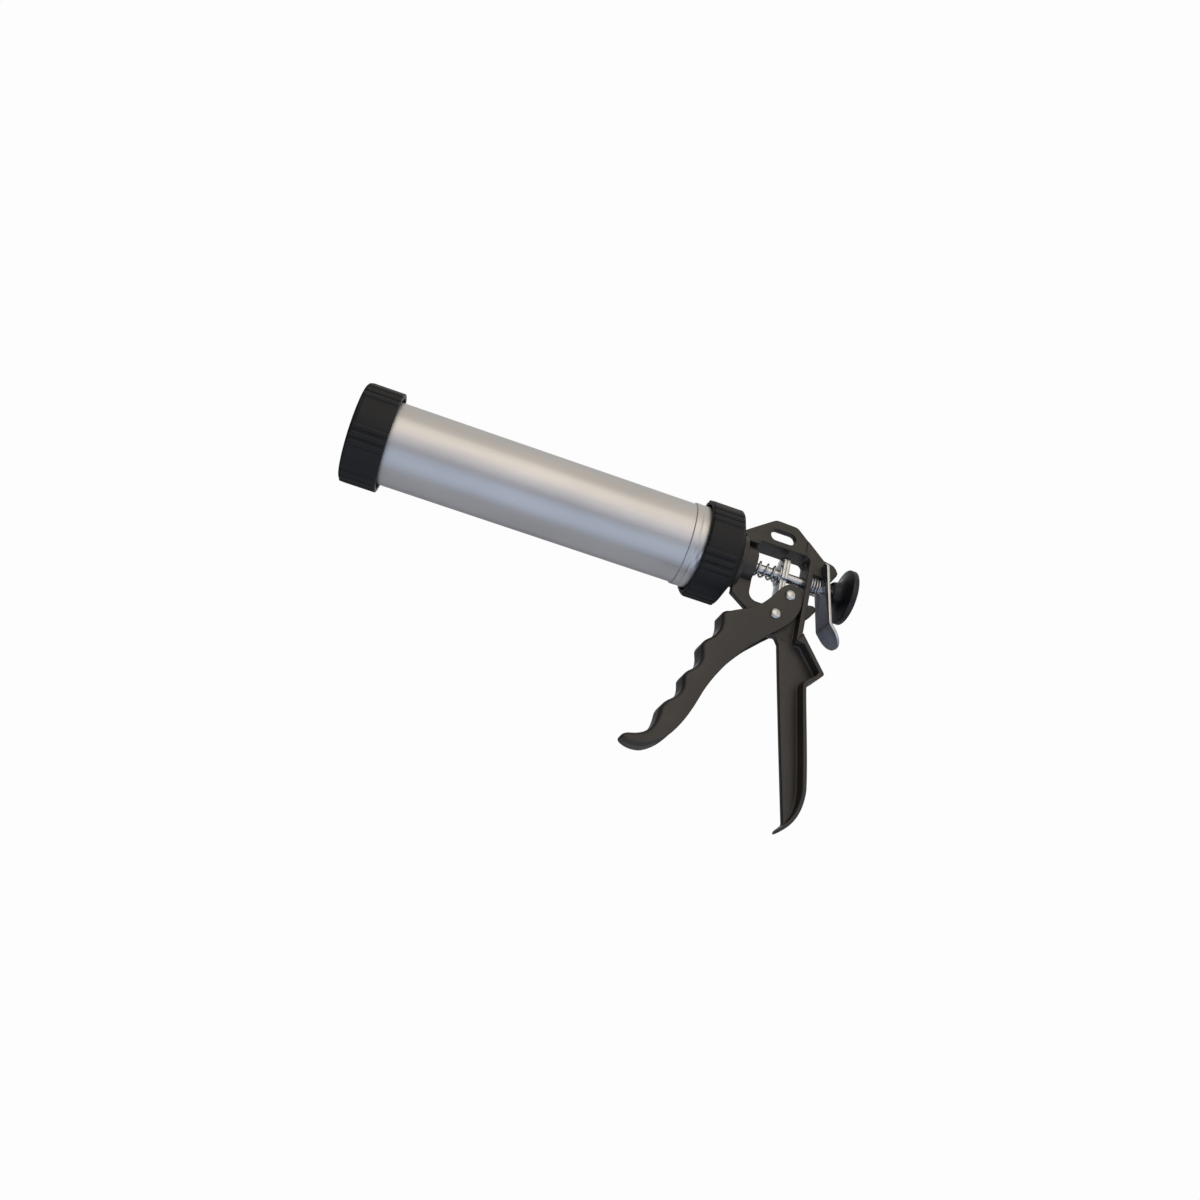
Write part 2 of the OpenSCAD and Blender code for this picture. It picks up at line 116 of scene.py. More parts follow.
def vary(tree, shader, cloud, colours, fine=None, roughs=None, spread=(0.3, 0.7)):
    """Base colour between two colours with the cloud field, roughness between two values with the fine one.
    Returns the colour's socket."""
    share = add(tree, "ShaderNodeMapRange", {"Value": cloud, "From Min": 0.3, "From Max": 0.7})
    feeds = {"Factor": share.outputs["Result"], 6: paint(colours[0]), 7: paint(colours[1])}
    tint = add(tree, "ShaderNodeMix", feeds, data_type="RGBA").outputs[2]
    tree.links.new(tint, shader.inputs["Base Color"])
    if fine is not None:
        sheen = add(tree, "ShaderNodeMapRange", {"Value": fine, "From Min": spread[0], "From Max": spread[1],
                                                 "To Min": roughs[0], "To Max": roughs[1]})
        tree.links.new(sheen.outputs["Result"], shader.inputs["Roughness"])
    return tint


def relief(tree, shader, *layers):
    """Surface relief in layers of (height field, strength, depth in mm), each on the one before."""
    feeds = {}
    for height, strength, depth in layers:
        feeds.update({"Height": height, "Strength": strength, "Distance": depth * MM})
        feeds["Normal"] = add(tree, "ShaderNodeBump", feeds).outputs["Normal"]
    tree.links.new(feeds["Normal"], shader.inputs["Normal"])


def satin_black_paint_on_die_casting():
    # Stoved satin black enamel on die-cast aluminium: warm brown-black, an even low gloss,
    # fine orange peel, and the faint ridge of the die's parting line along the middle.
    made, tree, shader, place = start_material("satin_black_enamel_on_die_cast_aluminium")
    cloud = blotches(tree, place, 26, 4)
    peel = blotches(tree, place, 0.9, 2)
    grain = blotches(tree, place, 3.2)
    vary(tree, shader, cloud, ("#2b2723", "#332f29"), grain, (0.34, 0.46), spread=(0.25, 0.75))
    across_y = add(tree, "ShaderNodeSeparateXYZ", {"Vector": place}).outputs["Y"]
    away = add(tree, "ShaderNodeMath", {0: across_y}, operation="ABSOLUTE").outputs[0]
    ridge = add(tree, "ShaderNodeMapRange", {"Value": away, "From Min": 0.00012, "From Max": 0.0004,
                                             "To Min": 1.0, "To Max": 0.0}).outputs["Result"]
    relief(tree, shader, (peel, 0.22, 0.05), (grain, 0.25, 0.08), (ridge, 0.5, 0.08))
    shader.inputs["Coat Weight"].default_value = 0.06
    shader.inputs["Coat Roughness"].default_value = 0.3
    return made


def moulded_polypropylene():
    # Injection-moulded polypropylene with a spark-eroded grip finish: dull, slightly cool black.
    made, tree, shader, place = start_material("moulded_black_polypropylene")
    cloud = blotches(tree, place, 18)
    spark = blotches(tree, place, 0.7, 2, 0.6)
    vary(tree, shader, cloud, ("#131416", "#191a1c"), spark, (0.46, 0.6))
    relief(tree, shader, (spark, 0.35, 0.06), (cloud, 0.1, 0.3))
    shader.inputs["IOR"].default_value = 1.49
    shader.inputs["Specular IOR Level"].default_value = 0.36
    return made


def polished_mould_plastic():
    # The knob is moulded in a smoother tool: a softer, more even sheen with faint rubbing marks.
    made, tree, shader, place = start_material("smooth_moulded_black_plastic")
    rub = blotches(tree, place, 2.4, 4, 0.6)
    vary(tree, shader, blotches(tree, place, 14), ("#101012", "#151517"), rub, (0.36, 0.48))
    relief(tree, shader, (rub, 0.12, 0.04))
    shader.inputs["IOR"].default_value = 1.5
    return made


def anodised_drawn_tube():
    # Natural anodised drawn tube: pale satin metal with very fine draw lines along its length
    # (drawn here about 0.5 mm apart, coarser than real, so that they show) and a few dull specks.
    made, tree, shader, place = start_material("satin_anodised_aluminium_tube")
    lines = blotches(tree, place, 0.5, 3, 0.6, stretch=(0.012, 1.0, 1.0))
    cloud = blotches(tree, place, 34, stretch=(0.4, 1.0, 1.0))
    speck = blotches(tree, place, 3.0, 4, 0.55)
    base = vary(tree, shader, cloud, ("#cdcccb", "#dad9d8"), lines, (0.36, 0.44))
    dots = add(tree, "ShaderNodeMapRange", {"Value": speck, "From Min": 0.72, "From Max": 0.8,
                                            "To Min": 1.0, "To Max": 0.86}).outputs["Result"]
    specked = add(tree, "ShaderNodeMix", {"Factor": 1.0, 6: base, 7: dots}, data_type="RGBA",
                  blend_type="MULTIPLY").outputs[2]
    tree.links.new(specked, shader.inputs["Base Color"])
    relief(tree, shader, (lines, 0.16, 0.02))
    shader.inputs["Metallic"].default_value = 1.0
    shader.inputs["Anisotropic"].default_value = 0.3
    return made


def bright_zinc_plate():
    # Bright zinc electroplate with a blue passivate: cool grey metal, cloudy, finely scratched.
    made, tree, shader, place = start_material("bright_zinc_plated_steel")
    scratch = blotches(tree, place, 0.6, 3, 0.6, stretch=(1.0, 1.0, 0.12))
    vary(tree, shader, blotches(tree, place, 5, 4), ("#b9bec6", "#d3d2cc"), scratch, (0.16, 0.28))
    relief(tree, shader, (scratch, 0.14, 0.02))
    shader.inputs["Metallic"].default_value = 1.0
    return made


def zinc_sheet_darkened_as_painted_shade():
    # Pressed sheet, barrel-polished then zinc plated: bluer and more even than the rod, and darker, which is
    # painted shade on the lever's faces.
    made, tree, shader, place = start_material("zinc_plated_pressed_sheet_with_painted_shade")
    pit = blotches(tree, place, 0.8)
    vary(tree, shader, blotches(tree, place, 7, 4), ("#7d838e", "#93989f"), pit, (0.3, 0.42))
    relief(tree, shader, (pit, 0.2, 0.03))
    shader.inputs["Metallic"].default_value = 1.0
    return made


def bright_drawn_rod():
    # Bright-drawn rod, zinc plated: smooth and bright, with long drag marks from the drive plates
    # about 0.7 mm apart.
    made, tree, shader, place = start_material("bright_drawn_zinc_plated_rod")
    drag = blotches(tree, place, 0.7, 3, 0.5, stretch=(0.04, 1.0, 1.0))
    vary(tree, shader, blotches(tree, place, 9), ("#c6c9ce", "#dcdbd7"), drag, (0.2, 0.3))
    relief(tree, shader, (drag, 0.08, 0.02))
    shader.inputs["Metallic"].default_value = 1.0
    return made


def matt_nitrile_rubber():
    # Moulded nitrile rubber: deep matt black with a slight bloom.
    made, tree, shader, place = start_material("matt_nitrile_rubber")
    bloom = blotches(tree, place, 4)
    vary(tree, shader, bloom, ("#0f0f10", "#1a1a1a"), bloom, (0.75, 0.9))
    relief(tree, shader, (bloom, 0.1, 0.05))
    return made


def turned_brass():
    # Free-cutting brass, turned: yellow metal with feed marks about 0.3 mm apart.
    made, tree, shader, place = start_material("turned_brass")
    feed = blotches(tree, place, 0.3, 2, 0.5, stretch=(1.0, 0.05, 0.05))
    vary(tree, shader, feed, ("#c9a24e", "#dcb968"), feed, (0.25, 0.35))
    relief(tree, shader, (feed, 0.2, 0.02))
    shader.inputs["Metallic"].default_value = 1.0
    return made


enamel = satin_black_paint_on_die_casting()
grip_plastic = moulded_polypropylene()
knob_plastic = polished_mould_plastic()
anodised = anodised_drawn_tube()
zinc = bright_zinc_plate()
# The lever's sheet is darkened as painted shade.
zinc_sheet_with_painted_shade = zinc_sheet_darkened_as_painted_shade()
rod_steel = bright_drawn_rod()
rubber = matt_nitrile_rubber()
brass = turned_brass()


# ---------------------------------------------------------------- shape helpers

def bez(a, b, c, d, t):
    return [a[i] * (1 - t) ** 3 + b[i] * 3 * t * (1 - t) ** 2 + c[i] * 3 * t * t * (1 - t) + d[i] * t ** 3
            for i in (0, 1)]


def curve(a, b, c, d, n):
    return [bez(a, b, c, d, i / n) for i in range(n)]


def arc(cx, cz, r, a0, a1, n):
    return [[cx + r * math.cos(math.radians(a0 + (a1 - a0) * i / n)),
             cz + r * math.sin(math.radians(a0 + (a1 - a0) * i / n))] for i in range(n + 1)]


def anticlockwise(loop):
    area = sum(p[0] * q[1] - q[0] * p[1] for p, q in zip(loop, loop[1:] + loop[:1]))
    return loop if area > 0 else loop[::-1]


def eased(loop, r, steps=4, sharp=14.0):
    """The loop with its corners rounded to radius r, as a casting or pressing has them."""
    done = []
    n = len(loop)
    for i in range(n):
        p, q, s = (Vector(loop[(i + k) % n]) for k in (-1, 0, 1))
        u, w = p - q, s - q
        if u.length < 1e-6 or w.length < 1e-6:
            continue
        turn = math.pi - u.angle(w)
        if math.degrees(turn) < sharp:
            done.append(list(q))
            continue
        reach = min(r * math.tan(turn / 2), 0.45 * u.length, 0.45 * w.length)
        a, b = q + u.normalized() * reach, q + w.normalized() * reach
        for k in range(steps + 1):
            t = k / steps
            done.append(list(a * (1 - t) ** 2 + q * 2 * t * (1 - t) + b * t * t))
    return done


def inset(loop, depths):
    """The loop moved towards its left, that is into the material, by each point's own depth."""
    n = len(loop)
    done = []
    for i in range(n):
        p, q, s = (Vector(loop[(i + k) % n]) for k in (-1, 0, 1))
        u, w = (q - p), (s - q)
        u = u.normalized() if u.length > 1e-9 else w.normalized()
        w = w.normalized() if w.length > 1e-9 else u
        m, k = Vector((-u.y, u.x)), Vector((-w.y, w.x))
        scale = min(1.0 / max(1 + m.dot(k), 0.25), 1.4)
        done.append(q + (m + k) * scale * depths[i])
    return done


def slab(outer, low, high, r, holes=(), steps=4):
    """A flat plate from low to high with rounded rims. r is one radius or one for each outer point.
    Returns points (u, v, w) and faces."""
    loops = [anticlockwise(outer)] + [anticlockwise(h)[::-1] for h in holes]
    radii = [r if isinstance(r, list) else [r] * len(outer)]
    if isinstance(r, list) and loops[0] is not outer:
        radii = [r[::-1]]
    small = min(radii[0])
    radii += [[small] * len(h) for h in loops[1:]]
    points, faces, starts = [], [], []
    levels = [(k / steps * 90.0, 0) for k in range(steps + 1)]
    levels += [(90.0 - k / steps * 90.0, 1) for k in range(steps + 1)]
    for angle, upper in levels:
        sine, cosine = math.sin(math.radians(angle)), math.cos(math.radians(angle))
        row = []
        for loop, rr in zip(loops, radii):
            row.append(len(points))
            for p, rad in zip(inset(loop, [x * (1 - sine) for x in rr]), rr):
                rise = rad * (1 - cosine)
                points.append((p.x, p.y, high - rise if upper else low + rise))
        starts.append(row)
    for a, b in zip(starts, starts[1:]):
        for j, loop in enumerate(loops):
            n = len(loop)
            faces += [(a[j] + i, a[j] + (i + 1) % n, b[j] + (i + 1) % n, b[j] + i) for i in range(n)]
    for row, flip in ((starts[0], True), (starts[-1], False)):
        flat = [[Vector((points[row[j] + i][0], points[row[j] + i][1], 0)) for i in range(len(loop))]
                for j, loop in enumerate(loops)]
        index = [row[j] + i for j, loop in enumerate(loops) for i in range(len(loop))]
        for tri in tessellate_polygon(flat):
            faces.append(tuple(index[k] for k in (reversed(tri) if flip else tri)))
    return points, faces


def turned(profile, segments=128, closed=True, ripple=None):
    """A solid of revolution round X from (x, r) points; a closed profile is a ring's section.
    ripple(x, angle) adds to the radius."""
    points, faces, rings = [], [], []
    for x, r in profile:
        if r < 1e-6:
            rings.append([len(points)] * segments)
            points.append((x, 0.0, 0.0))
            continue
        rings.append(list(range(len(points), len(points) + segments)))
        for i in range(segments):
            a = 2 * math.pi * i / segments
            rr = r + (ripple(x, a) if ripple else 0.0)
            points.append((x, rr * math.sin(a), rr * math.cos(a)))
    pairs = list(zip(rings, rings[1:])) + ([(rings[-1], rings[0])] if closed else [])
    for a, b in pairs:
        for i in range(segments):
            j = (i + 1) % segments
            face = []
            for k in (a[i], a[j], b[j], b[i]):
                if k not in face:
                    face.append(k)
            if len(face) > 2:
                faces.append(tuple(face))
    return points, faces


def rounded(profile, r, steps=3):
    """A section with its corners eased."""
    return eased([list(p) for p in profile], r, steps, sharp=8.0)


def join_shells(*shells):
    points, faces = [], []
    for p, f in shells:
        base = len(points)
        points += p
        faces += [tuple(k + base for k in face) for face in f]
    return points, faces


def side_on(shell):
    """Plate points (u, v, w) laid in the X-Z plane with w across."""
    points, faces = shell
    return [(u, w, v) for u, v, w in points], faces


def piece(name, shell, material, body, stands_for=(), sharp=32.0):
    """A finished mesh piece from millimetre points, on its body, in place of its solids."""
    made = loose(name, shell, drop_slivers=True)
    dress(made, material, sharp)
    settle(made, body, stands_for)


def dress(made, material, sharp=32.0):
    made.data.materials.clear()
    made.data.materials.append(material)
    made.data.shade_smooth()
    made.data.set_sharp_from_angle(angle=math.radians(sharp))


def settle(made, body, stands_for=()):
    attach(made, body)
    if stands_for:
        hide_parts(*stands_for)


def loose(name, shell, drop_slivers=False):
    """A closed mesh object from millimetre points, not yet a piece."""
    points, faces = shell
    mesh = bpy.data.meshes.new(name)
    mesh.from_pydata([[c * MM for c in p] for p in points], [], faces)
    work = bmesh.new()
    work.from_mesh(mesh)
    bmesh.ops.remove_doubles(work, verts=work.verts, dist=1e-7)
    if drop_slivers:
        bmesh.ops.dissolve_degenerate(work, edges=work.edges, dist=1e-7)
    bmesh.ops.recalc_face_normals(work, faces=work.faces)
    work.to_mesh(mesh)
    work.free()
    return linked(name, mesh)


def linked(name, data):
    """A new object of this data, put in the scene."""
    made = bpy.data.objects.new(name, data)
    bpy.context.scene.collection.objects.link(made)
    return made


def carved(base, *cutters):
    """base with each cutter taken away; the cutters are removed."""
    for cutter in cutters:
        mod = base.modifiers.new("cut", "BOOLEAN")
        mod.operation = "DIFFERENCE"
        mod.solver = "EXACT"
        mod.object = cutter
    flatten(base)
    for cutter in cutters:
        bpy.data.objects.remove(cutter)


def flatten(made):
    """Turns an object's modifiers into plain mesh."""
    graph = bpy.context.evaluated_depsgraph_get()
    graph.update()
    plain = bpy.data.meshes.new_from_object(made.evaluated_get(graph))
    old = made.data
    made.modifiers.clear()
    made.data = plain
    bpy.data.meshes.remove(old)
    plain.name = made.name


def softened_copy(node, name, material, body, width=0.3):
    """A small turned or pressed part with its edges broken, made from its solid."""
    mesh = nodes[node].data.copy()
    mesh.name = name
    work = bmesh.new()
    work.from_mesh(mesh)
    bmesh.ops.remove_doubles(work, verts=work.verts, dist=2e-6)
    bmesh.ops.dissolve_limit(work, angle_limit=math.radians(2), verts=work.verts, edges=work.edges)
    work.to_mesh(mesh)
    work.free()
    made = linked(name, mesh)
    mod = made.modifiers.new("edges", "BEVEL")
    mod.width = width * MM
    mod.segments = 2
    mod.limit_method = "ANGLE"
    mod.angle_limit = math.radians(40)
    flatten(made)
    dress(made, material, 36)
    settle(made, body, [node])


def grow_tree(name, inputs):
    """A Geometry Nodes tree with named number inputs; returns the tree and its input node."""
    tree = bpy.data.node_groups.new(name, "GeometryNodeTree")
    ids = {}
    for label, kind, value in inputs:
        made = tree.interface.new_socket(label, in_out="INPUT", socket_type=kind)
        made.default_value = value
        ids[label] = made.identifier
    tree.interface.new_socket("Geometry", in_out="OUTPUT", socket_type="NodeSocketGeometry")
    return tree, tree.nodes.new("NodeGroupInput"), ids


def grown(name, tree, ids, values, material, body, stands_for=(), sharp=40.0):
    """Runs a tree with these values and keeps the result as a plain piece."""
    made = linked(name, bpy.data.meshes.new(name))
    mod = made.modifiers.new("grow", "NODES")
    mod.node_group = tree
    for label, value in values.items():
        mod[ids[label]] = value
    flatten(made)
    dress(made, material, sharp)
    settle(made, body, stands_for)
    return made


def finish_tree(tree, geometry, material):
    real = add(tree, "GeometryNodeRealizeInstances", {"Geometry": geometry})
    coat = add(tree, "GeometryNodeSetMaterial", {"Geometry": real.outputs["Geometry"], "Material": material})
    add(tree, "NodeGroupOutput", {"Geometry": coat.outputs["Geometry"]})


# ---------------------------------------------------------------- ribbed caps

def rib_tree():
    """Low rounded ribs in groups round the X axis."""
    tree, given, ids = grow_tree("cap_ribs", [
        ("Groups", "NodeSocketInt", 6), ("Ribs each", "NodeSocketInt", 3),
        ("Pitch", "NodeSocketFloat", 9.2), ("Turn", "NodeSocketFloat", 0.0),
        ("Radius", "NodeSocketFloat", 0.032), ("Start", "NodeSocketFloat", 0.0),
        ("Length", "NodeSocketFloat", 0.02), ("Width", "NodeSocketFloat", 0.0034),
        ("Height", "NodeSocketFloat", 0.0019)])
    g = given.outputs
    count = add(tree, "ShaderNodeMath", {0: g["Groups"], 1: g["Ribs each"]}, operation="MULTIPLY").outputs[0]
    index = add(tree, "GeometryNodeInputIndex").outputs[0]
    # The group a rib is in and its place there; the small nudge keeps rounding from dropping one.
    nudged = add(tree, "ShaderNodeMath", {0: index, 1: 0.01}, operation="ADD").outputs[0]
    quotient = add(tree, "ShaderNodeMath", {0: nudged, 1: g["Ribs each"]}, operation="DIVIDE").outputs[0]
    group = add(tree, "ShaderNodeMath", {0: quotient}, operation="FLOOR").outputs[0]
    before = add(tree, "ShaderNodeMath", {0: group, 1: g["Ribs each"]}, operation="MULTIPLY").outputs[0]
    within = add(tree, "ShaderNodeMath", {0: index, 1: before}, operation="SUBTRACT").outputs[0]
    gaps = add(tree, "ShaderNodeMath", {0: g["Ribs each"], 1: 1.0}, operation="SUBTRACT").outputs[0]
    middle = add(tree, "ShaderNodeMath", {0: gaps, 1: 2.0}, operation="DIVIDE").outputs[0]
    off_middle = add(tree, "ShaderNodeMath", {0: within, 1: middle}, operation="SUBTRACT").outputs[0]
    fan = add(tree, "ShaderNodeMath", {0: off_middle, 1: g["Pitch"]}, operation="MULTIPLY").outputs[0]
    group_step = add(tree, "ShaderNodeMath", {0: 360.0, 1: g["Groups"]}, operation="DIVIDE").outputs[0]
    share = add(tree, "ShaderNodeMath", {0: group, 1: group_step}, operation="MULTIPLY").outputs[0]
    untwisted = add(tree, "ShaderNodeMath", {0: fan, 1: share}, operation="ADD").outputs[0]
    degrees = add(tree, "ShaderNodeMath", {0: untwisted, 1: g["Turn"]}, operation="ADD").outputs[0]
    angle = add(tree, "ShaderNodeMath", {0: degrees}, operation="RADIANS").outputs[0]
    sine = add(tree, "ShaderNodeMath", {0: angle}, operation="SINE").outputs[0]
    cosine = add(tree, "ShaderNodeMath", {0: angle}, operation="COSINE").outputs[0]
    across_r = add(tree, "ShaderNodeMath", {0: sine, 1: g["Radius"]}, operation="MULTIPLY").outputs[0]
    away_y = add(tree, "ShaderNodeMath", {0: across_r, 1: -1.0}, operation="MULTIPLY").outputs[0]
    away_z = add(tree, "ShaderNodeMath", {0: cosine, 1: g["Radius"]}, operation="MULTIPLY").outputs[0]
    half_length = add(tree, "ShaderNodeMath", {0: g["Length"], 1: 2.0}, operation="DIVIDE").outputs[0]
    half = add(tree, "ShaderNodeMath", {0: g["Start"], 1: half_length}, operation="ADD").outputs[0]
    spot = add(tree, "ShaderNodeCombineXYZ", {"X": half, "Y": away_y, "Z": away_z}).outputs[0]
    turn = add(tree, "ShaderNodeCombineXYZ", {"X": angle}).outputs[0]
    points = add(tree, "GeometryNodePoints", {"Count": count, "Position": spot}).outputs[0]
    size = add(tree, "ShaderNodeCombineXYZ", {"X": g["Length"], "Y": g["Width"], "Z": g["Height"]}).outputs[0]
    box = add(tree, "GeometryNodeMeshCube",
              {"Size": size, "Vertices X": 14, "Vertices Y": 2, "Vertices Z": 2})
    soft = add(tree, "GeometryNodeSubdivisionSurface", {"Mesh": box.outputs["Mesh"], "Level": 2})
    placed = add(tree, "GeometryNodeInstanceOnPoints",
                 {"Points": points, "Instance": soft.outputs[0], "Rotation": turn})
    finish_tree(tree, placed.outputs[0], grip_plastic)
    return tree, ids


def add_ribbed_caps():
    tree, ids = rib_tree()
    base = CAP_R - RIB_RISE
    # Front cap: short nose chamfer, open throat for the nozzle, smooth bore over the tube, open mouth.
    nose = rounded([
        (0, NOZZLE_R), (0, CAP_R - 2.7), (1.0, CAP_R - 1.5), (3.0, base), (CAP_LENGTH - 0.3, base),
        (CAP_LENGTH, base - 0.7), (CAP_LENGTH, TUBE_R + MOUTH_GAP),
        (CAP_LENGTH - MOUTH_DEPTH, TUBE_R + MOUTH_GAP),
        (CAP_LENGTH - MOUTH_DEPTH, TUBE_R + RUN_GAP), (CAP_WALL, TUBE_R + RUN_GAP),
        (CAP_WALL, NOZZLE_R + 0.6)], 0.6, 4)
    piece("front_cap_shell", turned(nose, 160), grip_plastic, "cap", ["front_cap"])
    # Collar: same grip and mouth, with a steep cone down to the frame.
    end = COLLAR_X + COLLAR_LENGTH
    cup = rounded([
        (COLLAR_X + MOUTH_DEPTH, TUBE_R + RUN_GAP), (COLLAR_X + MOUTH_DEPTH, TUBE_R + MOUTH_GAP),
        (COLLAR_X, TUBE_R + MOUTH_GAP), (COLLAR_X, base - 1.4), (COLLAR_X + 1.5, base), (end - 0.6, base),
        (end + 0.3, base - 0.8), (end + CONE_LENGTH, CONE_R), (end + CONE_LENGTH, 10.05),
        (COLLAR_FLOOR, 10.05), (COLLAR_FLOOR, TUBE_R + RUN_GAP)], 0.8, 4)
    piece("rear_collar_shell", turned(cup, 160), grip_plastic, "frame", ["rear_collar"])
    reach = {"Radius": (base - 0.48) * MM, "Width": 0.0049, "Height": 0.0032}
    grown("front_cap_ribs", tree, ids,
          dict(reach, Turn=61.5, Start=0.0009, Length=(CAP_LENGTH - 1.1) * MM),
          grip_plastic, "cap")
    grown("rear_collar_ribs", tree, ids,
          dict(reach, Turn=66.0, Start=(COLLAR_X + 0.2) * MM, Length=(COLLAR_LENGTH - 0.4) * MM),
          grip_plastic, "frame")


# ---------------------------------------------------------------- barrel

def add_barrel():
    """Drawn tube with a rolled band, a shallow groove in it and a worked patch on the near side."""
    front, back = BAND

    def rolled(x, angle):
        if x < front - 0.4 or x > back + 0.3:
            return 0.0
        rise = 0.5 - 0.5 * math.cos(math.pi * min(max((x - front) / 0.7, 0), 1))
        fall = 0.5 - 0.5 * math.cos(math.pi * min(max((back - x) / 0.9, 0), 1))
        groove = GROOVE_DEPTH * math.exp(-((x - front - GROOVE_BACK) / 0.7) ** 2)
        away = (angle - PATCH_ANGLE + math.pi) % (2 * math.pi) - math.pi
        patch = math.exp(-(away / PATCH_SPREAD) ** 2)
        worked = 0.09 * math.sin(1.3 * (x - front) + 9 * away)
        worked += 0.05 * math.sin(17 * away - 1.9 * (x - front))
        return max((BAND_RISE - groove + patch * worked) * rise * fall, 0.0)

    steps = 44
    section = [(6.0, TUBE_BORE + 0.2), (6.0, TUBE_R - 0.4), (6.15, TUBE_R - 0.12), (6.5, TUBE_R)]
    section += [(24 + i * 24.0, TUBE_R) for i in range(9)]
    section += [(front - 0.5 + i * (back - front + 1.0) / steps, TUBE_R) for i in range(steps + 1)]
    section += [(244.7, TUBE_R), (245, TUBE_R - 0.3), (245, TUBE_BORE + 0.2), (244.8, TUBE_BORE),
                (6.2, TUBE_BORE)]
    piece("barrel_tube_skin", turned(section, 240, ripple=rolled), anodised, "barrel",
          ["barrel_tube"], 40)


# ---------------------------------------------------------------- cast frame

def web_outline():
    return ([[255.6, -23], [255.6, 22.3], [265.8, 30.2], [274.6, 36.8], [276.6, 37.9], [279, 38.1],
             [290.6, 37.7], [292.6, 37], [300.4, 30.6], [WALL_BACK, 26.2], [WALL_BACK, -46]]
            + arc(PIVOT[0] + 1, PIVOT[1], 12.9, -72, -160, 14) + [[266.4, -30.2]])


def window_outline():
    """The window round the rod; it runs 0.5 mm into the roof and the rear wall."""
    return (arc(273.4, -18.3, 6, 180, 270, 10) + arc(WALL_FRONT - 5, -19.3, 5, 270, 345, 10)
            + [[WALL_FRONT + 0.5, -17.5], [WALL_FRONT + 0.5, ROOF + 0.5], [267.4, ROOF + 0.5]])


def slot_outline():
    return arc(287.95, 27.3, 4, -90, 90, 14) + arc(278.45, 27.3, 4, 90, 270, 14)


def grip_back():
    return ([[WALL_BACK, -38.6], [306.4, -40], [322.5, -60.3]] + arc(321.6, -61.9, 1.7, 40, -50, 7)
            + [[320, -66], [314.6, -70.6]]
            + curve([313.4, -73.6], [314, -80], [322.6, -122], [324.2, -138], 20)
            + curve([324.2, -138], [325.4, -151], [321.6, -158.6], [315, TOE + 2.6], 14)
            + [[313.4, TOE + 1.1], [312.6, TOE + 0.8], [312.2, TOE + 1.8], [312.9, TOE + 3.3]])


def grip_inside():
    return (curve([315.6, TOE + 6.4], [319.6, -156.4], [322.6, -149], [321.4, -138], 14)
            + curve([321.4, -138], [319.6, -122], [311.3, -80], [310.7, -72.6], 20)
            + [[310.7, -72.6], [311.6, -70], [318.4, -64], [319.7, -61.4], [307.4, -46.2],
               [WALL_FRONT, -45.2]])


def narrowed(shell, top, slope, half):
    """Draws a flange in towards its toe below the height top."""
    points, faces = shell
    done = []
    for x, y, z in points:
        keep = min(1.0, 1.0 - max(0.0, top - z) * slope / half)
        done.append((x, y * keep, z))
    return done, faces


def cove(path, face, r, side_of, steps=5):
    """A concave casting fillet in the corner between the web's face and a wall along path.
    The material of the web lies on side_of (+1 left, -1 right) of the path."""
    points, faces = [], []
    n = len(path)
    rows = []
    for i in range(n):
        p, q = Vector(path[max(i - 1, 0)]), Vector(path[min(i + 1, n - 1)])
        along = (q - p).normalized()
        away = Vector((-along.y, along.x)) * side_of
        here = Vector(path[i])
        row = []
        sign = 1 if face > 0 else -1
        for k in range(steps + 1):
            a = math.pi / 2 * k / steps
            reach = r * (1 - math.sin(a)) - 0.05
            lift = r * (1 - math.cos(a))
            spot = here + away * reach
            row.append((spot.x, face + sign * (lift - 0.05), spot.y))
        back = here - away * 0.4
        row.append((back.x, face + sign * r, back.y))
        row.append((back.x, face - sign * 0.4, back.y))
        low = here + away * r
        row.append((low.x, face - sign * 0.4, low.y))
        rows.append(row)
    m = len(rows[0])
    for row in rows:
        points += row
    for i in range(n - 1):
        for k in range(m):
            j = (k + 1) % m
            faces.append((i * m + k, i * m + j, (i + 1) * m + j, (i + 1) * m + k))
    faces.append(tuple(range(m)))
    faces.append(tuple((n - 1) * m + k for k in reversed(range(m))))
    return points, faces


def across(profile, x, z, segments=72):
    """A solid of revolution round a Y axis through (x, z), from (y, r) points."""
    points, faces = turned(profile, segments)
    return [(x + c, a, z + b) for a, b, c in points], faces


